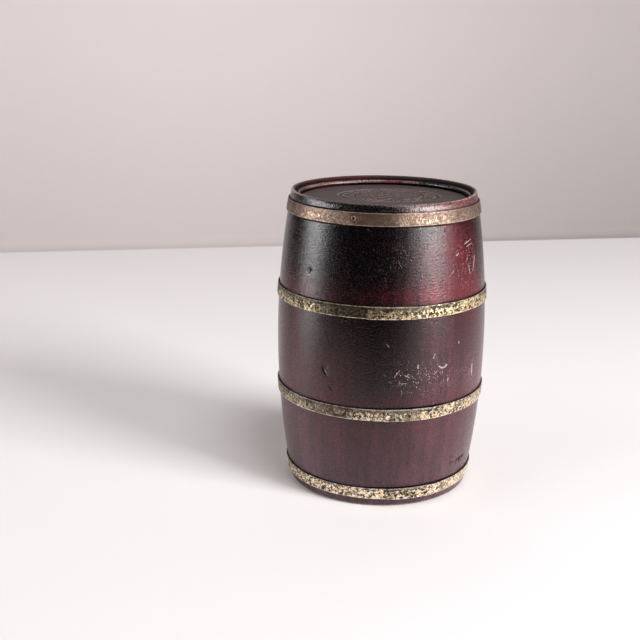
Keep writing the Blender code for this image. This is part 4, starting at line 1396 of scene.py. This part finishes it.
SCREWS, SCREW_SEGMENTS = 3, 32
SCREW_CIRCLE, SCREW_SEAT = DISH_INSIDE - 12.0, DISH_FLOOR - FIT
SCREW_HEAD, HEAD_RISE, SCREW_SHANK, SCREW_LENGTH = 2.2, 1.2, 1.0, 5.4
SLOT_SIZE = (6.0 * MM, 0.55 * MM, 1.0 * MM)
section = [
    (0.0, -HEAD_RISE), (1.5, 0.1 - HEAD_RISE), (SCREW_HEAD, -0.3), (SCREW_HEAD, 0.0), (SCREW_SHANK, 0.0),
    (SCREW_SHANK, SCREW_LENGTH - 1.0), (0.0, SCREW_LENGTH),
]
for number in range(SCREWS):
    bm = turn_whole(section, {1: 0.5, 2: 0.25}, SCREW_SEGMENTS, steps=3)
    slot = bmesh.new()
    bmesh.ops.create_cube(slot, size=1.0)
    bmesh.ops.scale(slot, vec=SLOT_SIZE, verts=slot.verts)
    bmesh.ops.rotate(slot, matrix=Matrix.Rotation(0.7 * number + 0.4, 3, "Z"), verts=slot.verts)
    bmesh.ops.translate(slot, vec=(0.0, 0.0, -HEAD_RISE * MM), verts=slot.verts)
    bm = cut_away(bm, slot)
    centre = outward(360.0 / SCREWS * number) * SCREW_CIRCLE + UP * SCREW_SEAT
    bmesh.ops.translate(bm, vec=centre * MM, verts=bm.verts)
    name = "dish_screw_{}".format(number + 1)
    add_piece("slotted_" + name, bm, (plated_sheet,), "lid", "plated", name)

# %% The perforated cover
HOLE_RADIUS, HOLE_PITCH, HOLE_RINGS, HOLE_SEGMENTS = 1.5, 8.0, 3, 24
PUNCH_LENGTH = 4.0
COVER_INSIDE, COVER_FLOOR = DISH_RADIUS + FIT, DISH_LIP - FIT
COVER_RADIUS, COVER_LOW, SKIRT_TOP = COVER_INSIDE + SHEET, COVER_FLOOR - SHEET, COVER_FLOOR + 6.0

section = [
    (0.0, COVER_LOW), (COVER_RADIUS, COVER_LOW), (COVER_RADIUS, SKIRT_TOP), (COVER_INSIDE, SKIRT_TOP),
    (COVER_INSIDE, COVER_FLOOR), (0.0, COVER_FLOOR),
]
bm = turn_whole(section, {1: 1.6, 2: 0.25, 3: 0.25, 4: 0.8})
punch = bmesh.new()
for ring in range(HOLE_RINGS + 1):
    holes = max(6 * ring, 1)
    for number in range(holes):
        centre = outward(360.0 * number / holes) * ring * HOLE_PITCH + UP * (COVER_LOW + SHEET / 2)
        bmesh.ops.create_cone(
            punch, cap_ends=True, segments=HOLE_SEGMENTS, radius1=HOLE_RADIUS * MM,
            radius2=HOLE_RADIUS * MM, depth=PUNCH_LENGTH * MM, matrix=Matrix.Translation(centre * MM),
        )
bm = cut_away(bm, punch)
add_piece("perforated_cover", bm, (plated_sheet,), "humidifier", "plated", "humidifier_cover")

# %% The felt pad
PAD_RADIUS, PAD_LOW, PAD_THICKNESS = DISH_INSIDE - 0.4, DISH_LIP, 5.4
PAD_TOP, PAD_MIDDLE = PAD_LOW + PAD_THICKNESS, PAD_LOW + PAD_THICKNESS / 2
PAD_ROUND, PAD_CUTS = 1.6, 40

bm = draw_section(disc(PAD_RADIUS, PAD_LOW, PAD_TOP), {1: PAD_ROUND, 2: PAD_ROUND})
flats = [edge for edge in bm.edges if edge.calc_length() > PAD_RADIUS / 2 * MM]
bmesh.ops.subdivide_edges(bm, edges=flats, cuts=PAD_CUTS)
spin_round(bm, METAL_SEGMENTS)
for point in bm.verts:
    soft = noise.noise(point.co * 160.0) * 0.5 + noise.noise(point.co * 700.0) * 0.25
    point.co.z += (PAD_MIDDLE * MM - point.co.z) * (0.06 + 0.06 * soft)
    point.co.xy *= 0.996 + 0.004 * soft
pad = add_piece("felt_pad", bm, (wool_felt,), "humidifier", "felt", "moisture_pad")
